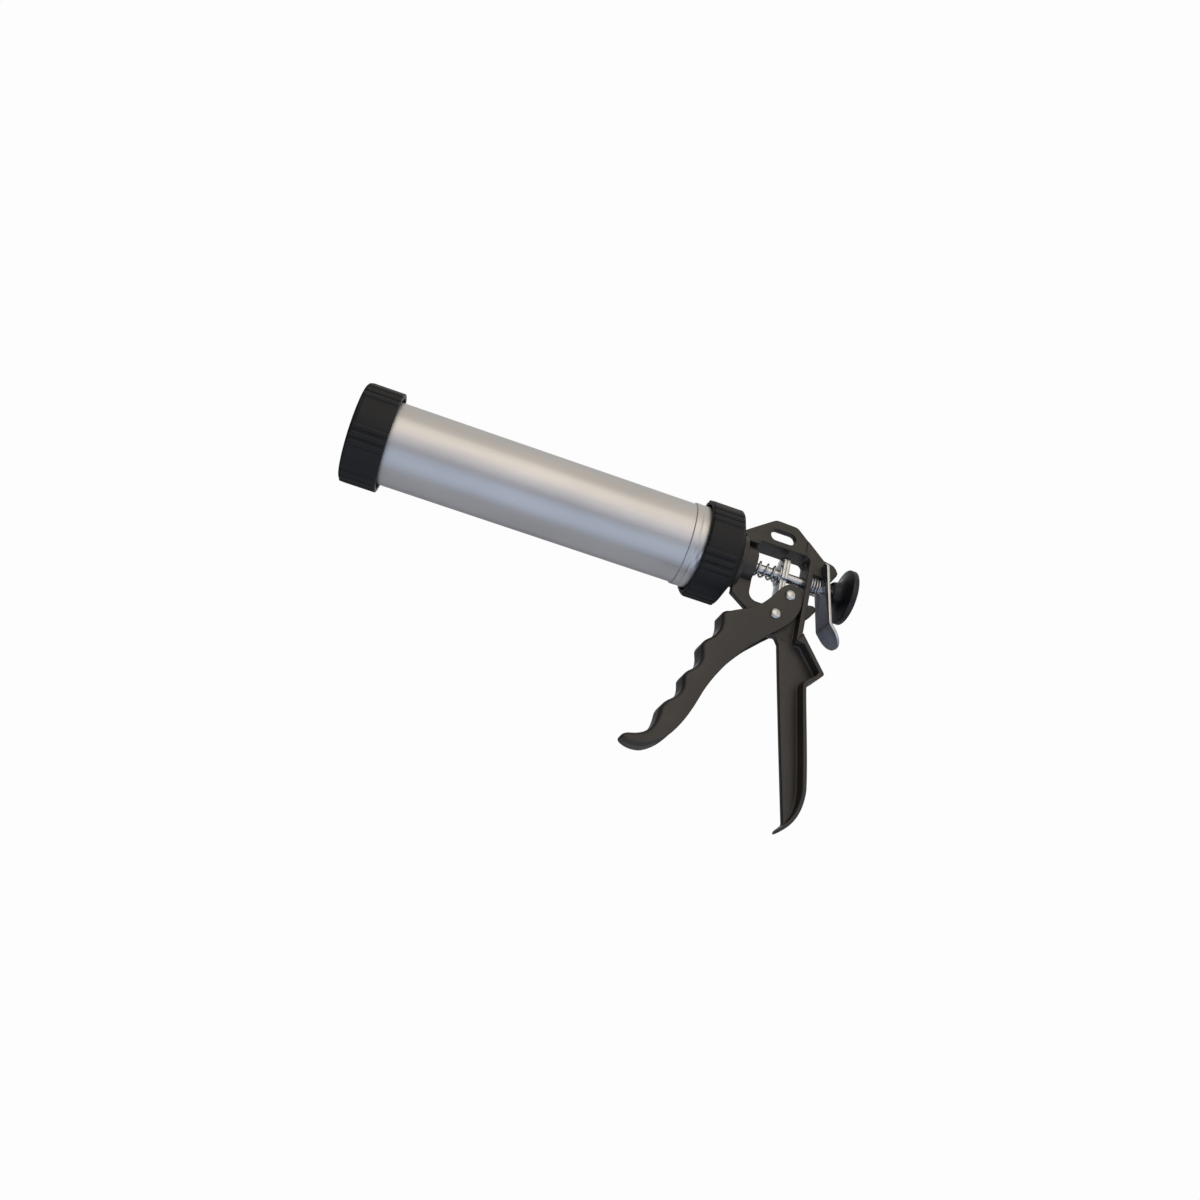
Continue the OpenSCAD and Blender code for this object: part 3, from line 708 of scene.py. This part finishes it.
def add_frame():
    web = side_on(slab(eased(web_outline(), 1.2), -WEB, WEB, 0.6, [window_outline(), slot_outline()]))
    grip_web = side_on(slab(eased([
        [WALL_FRONT + 1, -36], [285, -36], [287.6, -43], [290.6, -45], [292.8, -48.2], [298.6, -77.3],
        [306.3, -114.8], [315.6, TOE + 8], [315.2, TOE + 4], [318.4, TOE + 8.6], [321.6, -150],
        [322.4, -138], [311.9, -72], [320.4, -62], [306.4, -43]], 1.5), -WEB + 0.4, WEB - 0.4, 0.7))
    hook = side_on(slab(eased([
        [299.8, 31.1], [313.4, 19.9], [317.6, 19.3], [320.6, 18.4], [322.6, 16.6], [324.2, 13.8],
        [323.6, 11.8], [320.9, 7], [319.9, 5.4], [318.9, 5.2], [318.3, 6.4], [317.4, 7.2],
        [304.7, 7.2], [300.4, 12]], 1.0), -HOOK, HOOK, 0.8))
    lug = side_on(slab(eased([[304.7, -15.6]] + arc(310.6, -17.4, 2.8, 78, -30, 6)
                             + [[310.4, -23], [307.8, -25.8], [304.7, -28.6]], 0.8), -HOOK, HOOK, 0.9))
    roof = side_on(slab(eased([[256.5, 13.2], [267.3, 13.2], [267.3, ROOF], [300.4, ROOF],
                               [300.4, ROOF_TOP], [256.5, ROOF_TOP]], 0.8), -WALL, WALL, 0.6))
    wall = side_on(slab(eased([[WALL_BACK, -46], [WALL_BACK, 15.6], [WALL_BACK - 2.4, ROOF_TOP],
                               [298.6, ROOF_TOP], [298.6, ROOF]]
                              + arc(WALL_FRONT - 3.4, ROOF - 3.4, 3.4, 90, 0, 8)
                              + [[WALL_FRONT, -46]], 0.6), -WALL, WALL, 0.6))
    flange = narrowed(side_on(slab(eased(grip_back() + grip_inside(), 0.7), -GRIP, GRIP, 0.7)),
                      -139.0, math.tan(math.radians(13.2)), GRIP)
    boss = across(rounded([(-5.9, 0.0), (-5.9, 8), (5.9, 8), (5.9, 0.0)], 0.6), *PIVOT)
    neck = turned(rounded([
        (236.7, 4.5), (236.7, 8), (COLLAR_FLOOR, 8), (COLLAR_FLOOR, 10), (254.32, 10), (254.32, 17.5),
        (257.6, 17.5), (258.6, NECK_R), (NECK_END, NECK_R), (NECK_END, 5.6), (257.6, 5.6), (257.6, 4.5)],
        0.7), 96)
    coves = []
    inner = [p for p in grip_inside() if p[1] > TOE + 9]
    for s in (-1, 1):
        coves.append(cove(inner, s * (WEB - 0.4), 1.6, 1))
        coves.append(cove([[WALL_FRONT, -25], [WALL_FRONT, -44]], s * WEB, 1.4, -1))
    cast = loose("cast_frame_body", join_shells(wall))
    rod_hole = loose("rod_hole", turned([(300, 0.0), (300, ROD_R + 0.3), (308, ROD_R + 0.3), (308, 0.0)], 48,
                                        closed=False))
    carved(cast, rod_hole)
    dress(cast, enamel)
    settle(cast, "frame", ["body_frame"])
    piece("cast_frame_web", join_shells(web, grip_web, hook, lug, roof, boss), enamel, "frame")
    piece("cast_grip_flange", join_shells(flange, *coves), enamel, "frame")
    piece("cast_neck", neck, enamel, "frame")


# ---------------------------------------------------------------- trigger

FINGER_EDGE, RIM_EDGE = 2.8, 0.7
# The crests between the finger grooves, top to bottom; they are bent rounder than the solid's.
CREST = [[250.6, -40.0], [241.8, -65], [234.8, -88.6], [226, -111]]


def scallop(a, b, n=14):
    return curve(a, [a[0] + 2.2, a[1] - 8.4], [b[0] + 13.6, b[1] + 8.6], b, n)


def soft_corner(points, corner, reach, n):
    """Swap the points within reach of a corner for one smooth bend."""
    near = [i for i, p in enumerate(points) if math.dist(p, corner) < reach]
    a, b = points[near[0] - 1], points[near[-1] + 1]
    pull = lambda p: [p[k] + 0.58 * (corner[k] - p[k]) for k in (0, 1)]
    return points[:near[0] - 1] + curve(a, pull(a), pull(b), b, n) + points[near[-1] + 1:]


def add_trigger():
    finger = [[259.4, -37.6], [256.4, -39.2], CREST[0]]
    for a, b in zip(CREST, CREST[1:]):
        finger += scallop(a, b)
    finger += curve(CREST[3], [225.4, -119], [228.2, -131.4], [213, -134.2], 16)
    for crest in CREST:
        finger = soft_corner(finger, crest, 3.4, 7)
    finger += curve([213, -134.2], [208.6, -134.8], [206.4, -137.6], [208.2, -139.4], 8)
    palm = (curve([208.2, -139.4], [211.4, -141.8], [218.4, -142.2], [223.4, -139.8], 8)
            + curve([223.4, -139.8], [238.6, -131.6], [245.2, -111], [248.3, -101.4], 14)
            + curve([248.3, -101.4], [253.6, -83], [268, -62.8], [276.4, -54.2], 14) + [[283.5, -47]])
    hub = (curve([283.5, -47], [292, -39.8], [301.2, -31], [301.5, -19.4], 14)
           + curve([301.5, -19.4], [301.4, -9], [293.6, -3.6], [287, -11.4], 14)
           + curve([287, -11.4], [281.4, -18.6], [277.6, -29.6], [263, -35.6], 12))
    outline = eased(finger + palm + hub, 1.6, 3, sharp=20.0)
    # The finger side has the large edge radius and the other rims the small one, with an easy change.
    radii = []
    for x, z in outline:
        front = 254.0 if z > -44 else 250 - (-41.6 - z) * 0.345 + 9.5
        if z < -124:
            r = FINGER_EDGE if x < 222 else max(RIM_EDGE, FINGER_EDGE - (x - 222) * 0.25)
        else:
            r = FINGER_EDGE if x < front else max(RIM_EDGE, FINGER_EDGE - (x - front) * 0.5)
        radii.append(r)
    for _ in range(4):
        radii = [(radii[i - 1] + radii[i] * 2 + radii[(i + 1) % len(radii)]) / 4 for i in range(len(radii))]
    slope = math.tan(math.radians(10.5))
    points, faces = side_on(slab(outline, -CHEEK, CHEEK, radii, steps=6))
    points = [(x, y * min(1.0, 1.0 - max(0.0, 231 - x) * slope / CHEEK), z) for x, y, z in points]
    body = loose("cast_trigger", (points, faces))
    channel = (
        [[258.5, -30], [257.6, -43.2]]
        + curve([256.6, -46], [258, -56], [251, -62], [248.6, -66], 5)
        + curve([248.4, -68], [250.4, -80], [244, -86], [241.6, -90], 5)
        + curve([241.2, -91], [242.6, -102], [238, -108], [233, -112.6], 5)
        + curve([232.4, -113.6], [232.4, -121], [230.4, -128.4], [225, -132.4], 5)
        + [[231, -140], [262, -110], [290, -60], [320, -30], [300, 4], [280, -4], [268, -28]])
    hollow = loose("trigger_channel", side_on(slab(channel, -CHEEK_IN, CHEEK_IN, 0.9)))
    carved(body, hollow)
    dress(body, enamel, 34)
    settle(body, "trigger", ["trigger"])


# ---------------------------------------------------------------- knob, rod, lever, plates

def add_knob():
    """Stem, concave flare, narrow flat rim and a low dome at the back."""
    front = KNOB_END - 14.6
    sweep = lambda *ends: [tuple(reversed(p)) for p in curve(*ends, 12)]
    outside = ([(front, 0.0), (front, 6.9), (front + 0.7, 7.6)]
               + sweep([7.6, front + 0.7], [8.4, front + 3.4], [8.8, front + 5.4], [11.4, front + 6.6])
               + sweep([11.4, front + 6.6], [14.4, front + 7.8], [16.6, front + 8],
                       [KNOB_R - 0.5, front + 8.4])
               + [(front + 8.4, KNOB_R - 0.5), (front + 8.55, KNOB_R - 0.2), (front + 8.85, KNOB_R),
                  (KNOB_END - 2.75, KNOB_R), (KNOB_END - 2.4, KNOB_R - 0.18)]
               + sweep([KNOB_R - 0.6, KNOB_END - 2.1], [13, KNOB_END - 0.6], [7, KNOB_END], [0, KNOB_END])
               + [(KNOB_END, 0.0)])
    knob = turned(outside, 128, closed=False)
    piece("pull_knob", knob, knob_plastic, "rod", ["rod_knob"], 40)


def add_rod():
    end = KNOB_END - 5.0
    section = [(7.8, 0.0), (7.8, 2.5), (8.6, ROD_R)]
    section += [(20 + i * 20, ROD_R) for i in range(16)]
    section += [(end - 0.8, ROD_R), (end, 2.5), (end, 0.0)]
    rod = turned(section, 48, closed=False)
    piece("push_rod_skin", rod, rod_steel, "rod", ["push_rod"], 40)


def add_lever():
    """Pressed lever: forked top over the hook, loose rod hole, thumb tab with a true bend radius."""
    half, top, bend, r = 10.5, 9.2, -33.2, 10.5
    fork = HOOK + 0.4
    outline = ([[-half, bend - 5.2]] + arc(0, bend - 5.2, r, 180, 360, 28)
               + [[half, top - 2.4], [half - 2.4, top], [fork, top], [fork, 0.3], [-fork, 0.3], [-fork, top],
                  [-half + 2.4, top], [-half, top - 2.4]])
    hole = arc(0, -CROTCH[1] * math.cos(math.radians(LEVER_TILT)) - 0.1, ROD_R + 0.55, 0, 345, 23)
    points, faces = slab(eased(outline, 0.9, 3), -1.0, 1.0, 0.35, [hole], 3)
    plate = loose("release_lever_sheet", (points, faces))
    work = bmesh.new()
    work.from_mesh(plate.data)
    turn = math.radians(TAB_TILT - LEVER_TILT)
    radius = 4.0
    span = radius * turn
    start = bend + span / 2
    for k in range(9):
        level = start - span * k / 8
        every = work.verts[:] + work.edges[:] + work.faces[:]
        bmesh.ops.bisect_plane(work, geom=every, plane_co=(0, level * MM, 0), plane_no=(0, 1, 0), dist=1e-8)
    tilt = math.radians(LEVER_TILT)
    for v in work.verts:
        y, s, w = v.co.x / MM, v.co.y / MM, v.co.z / MM
        if s >= start:
            a, x0, s0 = 0.0, 0.0, s
        else:
            past = min(start - s, span)
            a = past / radius
            x0 = radius * (1 - math.cos(a))
            s0 = start - radius * math.sin(a)
            rest = max(start - s - span, 0.0)
            x0 += rest * math.sin(a)
            s0 -= rest * math.cos(a)
        # w is across the sheet, turned with the bend; then the whole lever leans back by its tilt
        x1, z1 = x0 + w * math.cos(a), s0 + w * math.sin(a)
        x2 = x1 * math.cos(tilt) - z1 * math.sin(tilt)
        z2 = x1 * math.sin(tilt) + z1 * math.cos(tilt)
        v.co = Vector(((CROTCH[0] + x2) * MM, y * MM, (CROTCH[1] + z2) * MM))
    bmesh.ops.recalc_face_normals(work, faces=work.faces)
    work.to_mesh(plate.data)
    work.free()
    dress(plate, zinc_sheet_with_painted_shade, 36)
    # The rims that face along Y get the brighter zinc, a painted highlight beside the painted shade of the
    # sheet's faces.
    plate.data.materials.append(zinc)
    for face in plate.data.polygons:
        if abs(face.normal.y) > 0.5:
            face.material_index = 1
    settle(plate, "lever", ["release_lever"])


def add_drive_plates():
    """Two stacked pressed plates, arched over the rod, with a tail between the cheeks."""
    arch = eased(arc(0, 5.6, 8, 0, 180, 28) + [[-8, -5], [-5.6, -5], [-5.6, -19], [-4.6, -20], [4.6, -20],
                                               [5.6, -19], [5.6, -5], [8, -5]], 0.6)
    hole = arc(0, 0, ROD_R + 0.1, 0, 350, 35)
    for name, x in (("front", PLATE_X), ("rear", PLATE_X + PLATE_T + 0.05)):
        points, faces = slab(arch, x, x + PLATE_T, 0.3, [hole], 3)
        plate = [(w, u, v) for u, v, w in points], faces
        piece("drive_plate_%s_pressing" % name, plate, zinc, "drive", ["drive_plate_" + name])
    ring = rounded([(PLATE_X - 1.05, ROD_R + 0.12), (PLATE_X - 1.05, 7), (PLATE_X - 0.05, 7),
                    (PLATE_X - 0.05, ROD_R + 0.12)], 0.25)
    piece("drive_spring_washer", turned(ring, 64), zinc, "drive", ["spring_washer"])
    bush = rounded([(NECK_END - 8.98, ROD_R + 0.05), (NECK_END - 8.98, 5.58), (NECK_END, 5.58),
                    (NECK_END, ROD_R + 0.05)], 0.4)
    piece("neck_guide_bush", turned(bush, 64), grip_plastic, "frame", ["neck_bush"])


def spring_tree():
    """A round-wire coil along X whose end coils lie closer than the rest."""
    tree, given, ids = grow_tree("coil_spring", [
        ("Start", "NodeSocketFloat", 0.0), ("Length", "NodeSocketFloat", 0.015),
        ("Radius", "NodeSocketFloat", 0.005), ("Wire", "NodeSocketFloat", 0.0015),
        ("Turns", "NodeSocketFloat", 4.0), ("Closed ends", "NodeSocketFloat", 0.7),
        ("First angle", "NodeSocketFloat", 0.0)])
    g = given.outputs
    line = add(tree, "GeometryNodeCurvePrimitiveLine", {"Start": (0, 0, 0), "End": (1, 0, 0)}).outputs[0]
    fine = add(tree, "GeometryNodeResampleCurve", {"Curve": line, "Count": 240}).outputs[0]
    along = add(tree, "GeometryNodeSplineParameter").outputs["Factor"]
    swing = add(tree, "ShaderNodeMath", {0: along, 1: 2 * math.pi}, operation="MULTIPLY").outputs[0]
    wave = add(tree, "ShaderNodeMath", {0: swing}, operation="SINE").outputs[0]
    slack = add(tree, "ShaderNodeMath", {0: wave, 1: 2 * math.pi}, operation="DIVIDE").outputs[0]
    ease = add(tree, "ShaderNodeMath", {0: slack, 1: g["Closed ends"]}, operation="MULTIPLY").outputs[0]
    run = add(tree, "ShaderNodeMath", {0: g["Length"], 1: g["Wire"]}, operation="SUBTRACT").outputs[0]
    wire_r = add(tree, "ShaderNodeMath", {0: g["Wire"], 1: 2.0}, operation="DIVIDE").outputs[0]
    first = add(tree, "ShaderNodeMath", {0: g["Start"], 1: wire_r}, operation="ADD").outputs[0]
    eased_along = add(tree, "ShaderNodeMath", {0: along, 1: ease}, operation="SUBTRACT").outputs[0]
    travel = add(tree, "ShaderNodeMath", {0: run, 1: eased_along}, operation="MULTIPLY").outputs[0]
    x = add(tree, "ShaderNodeMath", {0: first, 1: travel}, operation="ADD").outputs[0]
    wound = add(tree, "ShaderNodeMath", {0: swing, 1: g["Turns"]}, operation="MULTIPLY").outputs[0]
    angle = add(tree, "ShaderNodeMath", {0: wound, 1: g["First angle"]}, operation="ADD").outputs[0]
    sine = add(tree, "ShaderNodeMath", {0: angle}, operation="SINE").outputs[0]
    cosine = add(tree, "ShaderNodeMath", {0: angle}, operation="COSINE").outputs[0]
    y = add(tree, "ShaderNodeMath", {0: sine, 1: g["Radius"]}, operation="MULTIPLY").outputs[0]
    z = add(tree, "ShaderNodeMath", {0: cosine, 1: g["Radius"]}, operation="MULTIPLY").outputs[0]
    spot = add(tree, "ShaderNodeCombineXYZ", {"X": x, "Y": y, "Z": z}).outputs[0]
    coil = add(tree, "GeometryNodeSetPosition", {"Geometry": fine, "Position": spot}).outputs[0]
    ring = add(tree, "GeometryNodeCurvePrimitiveCircle",
               {"Resolution": 14, "Radius": wire_r}).outputs[0]
    wire = add(tree, "GeometryNodeCurveToMesh",
               {"Curve": coil, "Profile Curve": ring, "Fill Caps": True}).outputs[0]
    finish_tree(tree, wire, zinc)
    return tree, ids


def add_springs():
    tree, ids = spring_tree()
    drive = grown("drive_spring_coil", tree, ids, {
        "Start": (NECK_END + 0.05) * MM, "Length": (PLATE_X - 1.15 - NECK_END - 0.05) * MM,
        "Radius": 0.00475, "Wire": 0.0015, "Turns": 3.8, "Closed ends": 0.35, "First angle": -1.16},
        zinc, "frame", ["drive_spring"])
    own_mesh(drive)
    start = WALL_BACK + 0.06
    brake = grown("brake_spring_coil", tree, ids, {
        "Start": start * MM, "Length": (CROTCH[0] - 1.35 - start) * MM,
        "Radius": 0.0053, "Wire": 0.0014, "Turns": 3.8, "Closed ends": 0.15, "First angle": 2.4},
        zinc, "frame", ["brake_spring"])
    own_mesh(brake)


def rivet_tree():
    """Domed heads, one at each end of each pin."""
    tree, given, ids = grow_tree("rivet_heads", [
        ("Across", "NodeSocketFloat", CHEEK * MM), ("Head radius", "NodeSocketFloat", 0.0036),
        ("Head height", "NodeSocketFloat", 0.0019), ("Place", "NodeSocketVector", (0.0, 0.0, 0.0))])
    g = given.outputs
    # Half section of the dome in steps, swept round its own axis in count sectors.
    steps, count = 22, 40
    line = add(tree, "GeometryNodeCurvePrimitiveLine", {"Start": (0, 0, 0), "End": (1, 0, 0)}).outputs[0]
    fine = add(tree, "GeometryNodeResampleCurve", {"Curve": line, "Count": steps}).outputs[0]
    along = add(tree, "GeometryNodeSplineParameter").outputs["Factor"]
    quarter = add(tree, "ShaderNodeMath", {0: along, 1: math.pi / 2}, operation="MULTIPLY").outputs[0]
    sine = add(tree, "ShaderNodeMath", {0: quarter}, operation="SINE").outputs[0]
    cosine = add(tree, "ShaderNodeMath", {0: quarter}, operation="COSINE").outputs[0]
    out = add(tree, "ShaderNodeMath", {0: sine, 1: g["Head radius"]}, operation="MULTIPLY").outputs[0]
    clear = add(tree, "ShaderNodeMath", {0: out, 1: 1e-6}, operation="MAXIMUM").outputs[0]
    fullness = add(tree, "ShaderNodeMath", {0: cosine, 1: 0.85}, operation="POWER").outputs[0]
    up = add(tree, "ShaderNodeMath", {0: fullness, 1: g["Head height"]}, operation="MULTIPLY").outputs[0]
    profile = add(tree, "ShaderNodeCombineXYZ", {"X": clear, "Z": up}).outputs[0]
    section = add(tree, "GeometryNodeSetPosition", {"Geometry": fine, "Position": profile}).outputs[0]
    spots = add(tree, "GeometryNodeMeshGrid", {"Size X": 1.0, "Size Y": 1.0, "Vertices X": count + 1,
                                               "Vertices Y": steps}).outputs["Mesh"]
    index = add(tree, "GeometryNodeInputIndex").outputs[0]
    nudged = add(tree, "ShaderNodeMath", {0: index, 1: 0.01}, operation="ADD").outputs[0]
    quotient = add(tree, "ShaderNodeMath", {0: nudged, 1: float(steps)}, operation="DIVIDE").outputs[0]
    column = add(tree, "ShaderNodeMath", {0: quotient}, operation="FLOOR").outputs[0]
    before = add(tree, "ShaderNodeMath", {0: column, 1: float(steps)}, operation="MULTIPLY").outputs[0]
    row = add(tree, "ShaderNodeMath", {0: index, 1: before}, operation="SUBTRACT").outputs[0]
    sample = add(tree, "GeometryNodeSampleIndex", {
        "Geometry": section, "Value": add(tree, "GeometryNodeInputPosition").outputs[0], "Index": row},
        data_type="FLOAT_VECTOR").outputs[0]
    part = add(tree, "ShaderNodeSeparateXYZ", {"Vector": sample}).outputs
    turn = add(tree, "ShaderNodeMath", {0: column, 1: 2 * math.pi / count}, operation="MULTIPLY").outputs[0]
    turn_cos = add(tree, "ShaderNodeMath", {0: turn}, operation="COSINE").outputs[0]
    turn_sin = add(tree, "ShaderNodeMath", {0: turn}, operation="SINE").outputs[0]
    dome_x = add(tree, "ShaderNodeMath", {0: part["X"], 1: turn_cos}, operation="MULTIPLY").outputs[0]
    dome_y = add(tree, "ShaderNodeMath", {0: part["Z"], 1: -1.0}, operation="MULTIPLY").outputs[0]
    dome_z = add(tree, "ShaderNodeMath", {0: part["X"], 1: turn_sin}, operation="MULTIPLY").outputs[0]
    spot = add(tree, "ShaderNodeCombineXYZ", {"X": dome_x, "Y": dome_y, "Z": dome_z}).outputs[0]
    dome = add(tree, "GeometryNodeSetPosition", {"Geometry": spots, "Position": spot}).outputs[0]
    sealed = add(tree, "GeometryNodeMergeByDistance", {"Geometry": dome, "Distance": 2e-6}).outputs[0]
    ends = []
    for sign in (-1, 1):
        out_y = add(tree, "ShaderNodeMath", {0: g["Across"], 1: float(sign)}, operation="MULTIPLY").outputs[0]
        shift = add(tree, "ShaderNodeCombineXYZ", {"Y": out_y}).outputs[0]
        move = add(tree, "ShaderNodeVectorMath", {0: g["Place"], 1: shift}, operation="ADD").outputs[0]
        facing = (0, 0, 0 if sign < 0 else math.pi)
        ends.append(add(tree, "GeometryNodeTransform", {
            "Geometry": sealed, "Translation": move, "Rotation": facing}).outputs[0])
    both = tree.nodes.new("GeometryNodeJoinGeometry")
    for end in ends:
        tree.links.new(end, both.inputs[0])
    finish_tree(tree, both.outputs[0], zinc)
    return tree, ids


def add_rivets():
    tree, ids = rivet_tree()
    half, pin_r = CHEEK + 0.02, 2.4
    pins = (("drive_pin", DRIVE_PIN, "drive_pin"), ("pivot_pin", PIVOT, "trigger_pivot_pin"))
    for name, (x, z), node in pins:
        grown(name + "_heads", tree, ids, {"Across": half * MM, "Place": (x * MM, 0.0, z * MM)},
              zinc, "trigger", sharp=50)
        shank = across([(-half, 0.0), (-half, pin_r), (half, pin_r), (half, 0.0)], x, z, 40)
        piece(name + "_shank", shank, zinc, "trigger", [node])


def add_inner_parts():
    softened_copy("collar_washer", "collar_washer_pressing", zinc, "frame", 0.25)
    softened_copy("collar_nut", "collar_hex_nut", zinc, "frame", 0.4)
    softened_copy("piston_front_nut", "piston_front_hex_nut", zinc, "rod", 0.4)
    softened_copy("piston_nut", "piston_rear_hex_nut", zinc, "rod", 0.4)
    softened_copy("piston_washer", "piston_plain_washer", zinc, "rod", 0.2)
    softened_copy("drive_roller", "drive_pin_roller", zinc, "trigger", 0.25)
    for node, material in (("nozzle_seal", rubber), ("piston", grip_plastic), ("knob_insert", brass)):
        nodes[node].data.materials.clear()
        nodes[node].data.materials.append(material)


add_ribbed_caps()
add_barrel()
add_frame()
add_trigger()
add_knob()
add_rod()
add_lever()
add_drive_plates()
add_springs()
add_rivets()
add_inner_parts()


# ---------------------------------------------------------------- studio

def pale_floor():
    turns = [i * 2 * math.pi / FLOOR_SIDES for i in range(FLOOR_SIDES)]
    points = [(FLOOR_MIDDLE + FLOOR_REACH * math.cos(a), FLOOR_REACH * math.sin(a), -FLOOR_DROP)
              for a in turns]
    mesh = bpy.data.meshes.new("studio_floor")
    mesh.from_pydata([[c * MM for c in p] for p in points], [], [tuple(range(FLOOR_SIDES))])
    floor = linked("studio_floor", mesh)
    made, tree, shader, place = start_material("pale_matt_studio_floor")
    vary(tree, shader, blotches(tree, place, 60, 2), ("#d9e0ee", "#dce3f0"))
    shader.inputs["Roughness"].default_value = 0.9
    mesh.materials.append(made)


def studio_sky():
    """A plain white surround to the eye, and a soft light tent for everything else: brightest level
    in front, warm and softer above, cool and dim low in front, dark behind and past the muzzle."""
    world = bpy.data.worlds.new("light_tent")
    bpy.context.scene.world = world
    world.use_nodes = True
    tree = world.node_tree
    tree.nodes.clear()
    way = add(tree, "ShaderNodeTexCoord").outputs["Generated"]
    part = add(tree, "ShaderNodeSeparateXYZ", {"Vector": way}).outputs
    front = add(tree, "ShaderNodeMath", {0: part["Y"], 1: -1.0}, operation="MULTIPLY").outputs[0]
    angle = add(tree, "ShaderNodeMath", {0: part["Z"], 1: front}, operation="ARCTAN2").outputs[0]
    share = add(tree, "ShaderNodeMapRange",
                {"Value": angle, "From Min": -math.pi, "From Max": math.pi}).outputs["Result"]
    # Degrees above level in front, with the linear colour of the tent there; 180 is level behind.
    bands = [
        (-180, (0.2, 0.2, 0.23, 1)), (-95, (0.5, 0.5, 0.54, 1)), (-58, (0.47, 0.49, 0.58, 1)),
        (-26, (0.48, 0.52, 0.65, 1)), (-2, (0.98, 0.95, 0.98, 1)), (20, (0.72, 0.66, 0.6, 1)),
        (52, (0.7, 0.64, 0.57, 1)), (84, (0.62, 0.59, 0.55, 1)), (130, (0.56, 0.56, 0.56, 1)),
        (180, (0.2, 0.2, 0.23, 1))]
    tent = add(tree, "ShaderNodeValToRGB", {"Fac": share})
    stops = tent.color_ramp.elements
    while len(stops) < len(bands):
        stops.new(0.5)
    for stop, (degrees, colour) in zip(stops, bands):
        stop.position = (degrees + 180) / 360
        stop.color = colour
    # The tent is open and dim past the muzzle end.
    open_end = add(tree, "ShaderNodeMapRange", {"Value": part["X"], "From Min": -0.8, "From Max": -0.1,
                                                "To Min": 0.12, "To Max": 1.0}).outputs["Result"]
    lit = add(tree, "ShaderNodeBackground", {"Color": tent.outputs["Color"], "Strength": open_end}).outputs[0]
    seen = add(tree, "ShaderNodeBackground", {"Color": (0.985, 0.98, 0.985, 1), "Strength": 1.0}).outputs[0]
    eye = add(tree, "ShaderNodeLightPath").outputs["Is Camera Ray"]
    both = add(tree, "ShaderNodeMixShader", {"Fac": eye, 1: lit, 2: seen})
    add(tree, "ShaderNodeOutputWorld", {"Surface": both.outputs[0]})


def soft_lamp(name, place, target, size, power, colour):
    data = bpy.data.lights.new(name, "AREA")
    data.shape = "RECTANGLE"
    data.size, data.size_y = size
    data.energy = power
    data.color = colour
    lamp = linked(name, data)
    lamp.visible_camera = False
    lamp.location = place
    lamp.rotation_euler = (Vector(target) - Vector(place)).to_track_quat("-Z", "Y").to_euler()


def studio_camera():
    data = bpy.data.cameras.new("studio_camera")
    camera = linked("studio_camera", data)
    data.lens, data.sensor_width = 33.0, 36.0
    data.clip_start, data.clip_end = 0.01, 20.0
    right, up = Vector((0.9419, -0.2422, 0.2326)), Vector((-0.3100, -0.3608, 0.8798))
    back = right.cross(up)
    turn = Matrix((right, up, back)).transposed().to_4x4()
    camera.matrix_world = Matrix.Translation((0.08777, -0.6128, -0.3391)) @ turn
    bpy.context.scene.camera = camera
    bpy.context.scene.view_settings.view_transform = "Standard"


pale_floor()
studio_sky()
soft_lamp("key_bank", (0.0, -1.45, 0.78), (0.2, 0.0, -0.03), (1.5, 1.15), 3.3, (1.0, 0.91, 0.8))
soft_lamp("rim_bank", (0.6, 1.3, 0.9), (0.2, 0.0, 0.0), (1.0, 0.7), 1.6, (0.97, 0.98, 1.0))
soft_lamp("cool_low_fill", (0.17, -0.42, -0.62), (0.17, -0.3, 0.4), (1.5, 0.7), 1.35, (0.5, 0.68, 1.0))
studio_camera()
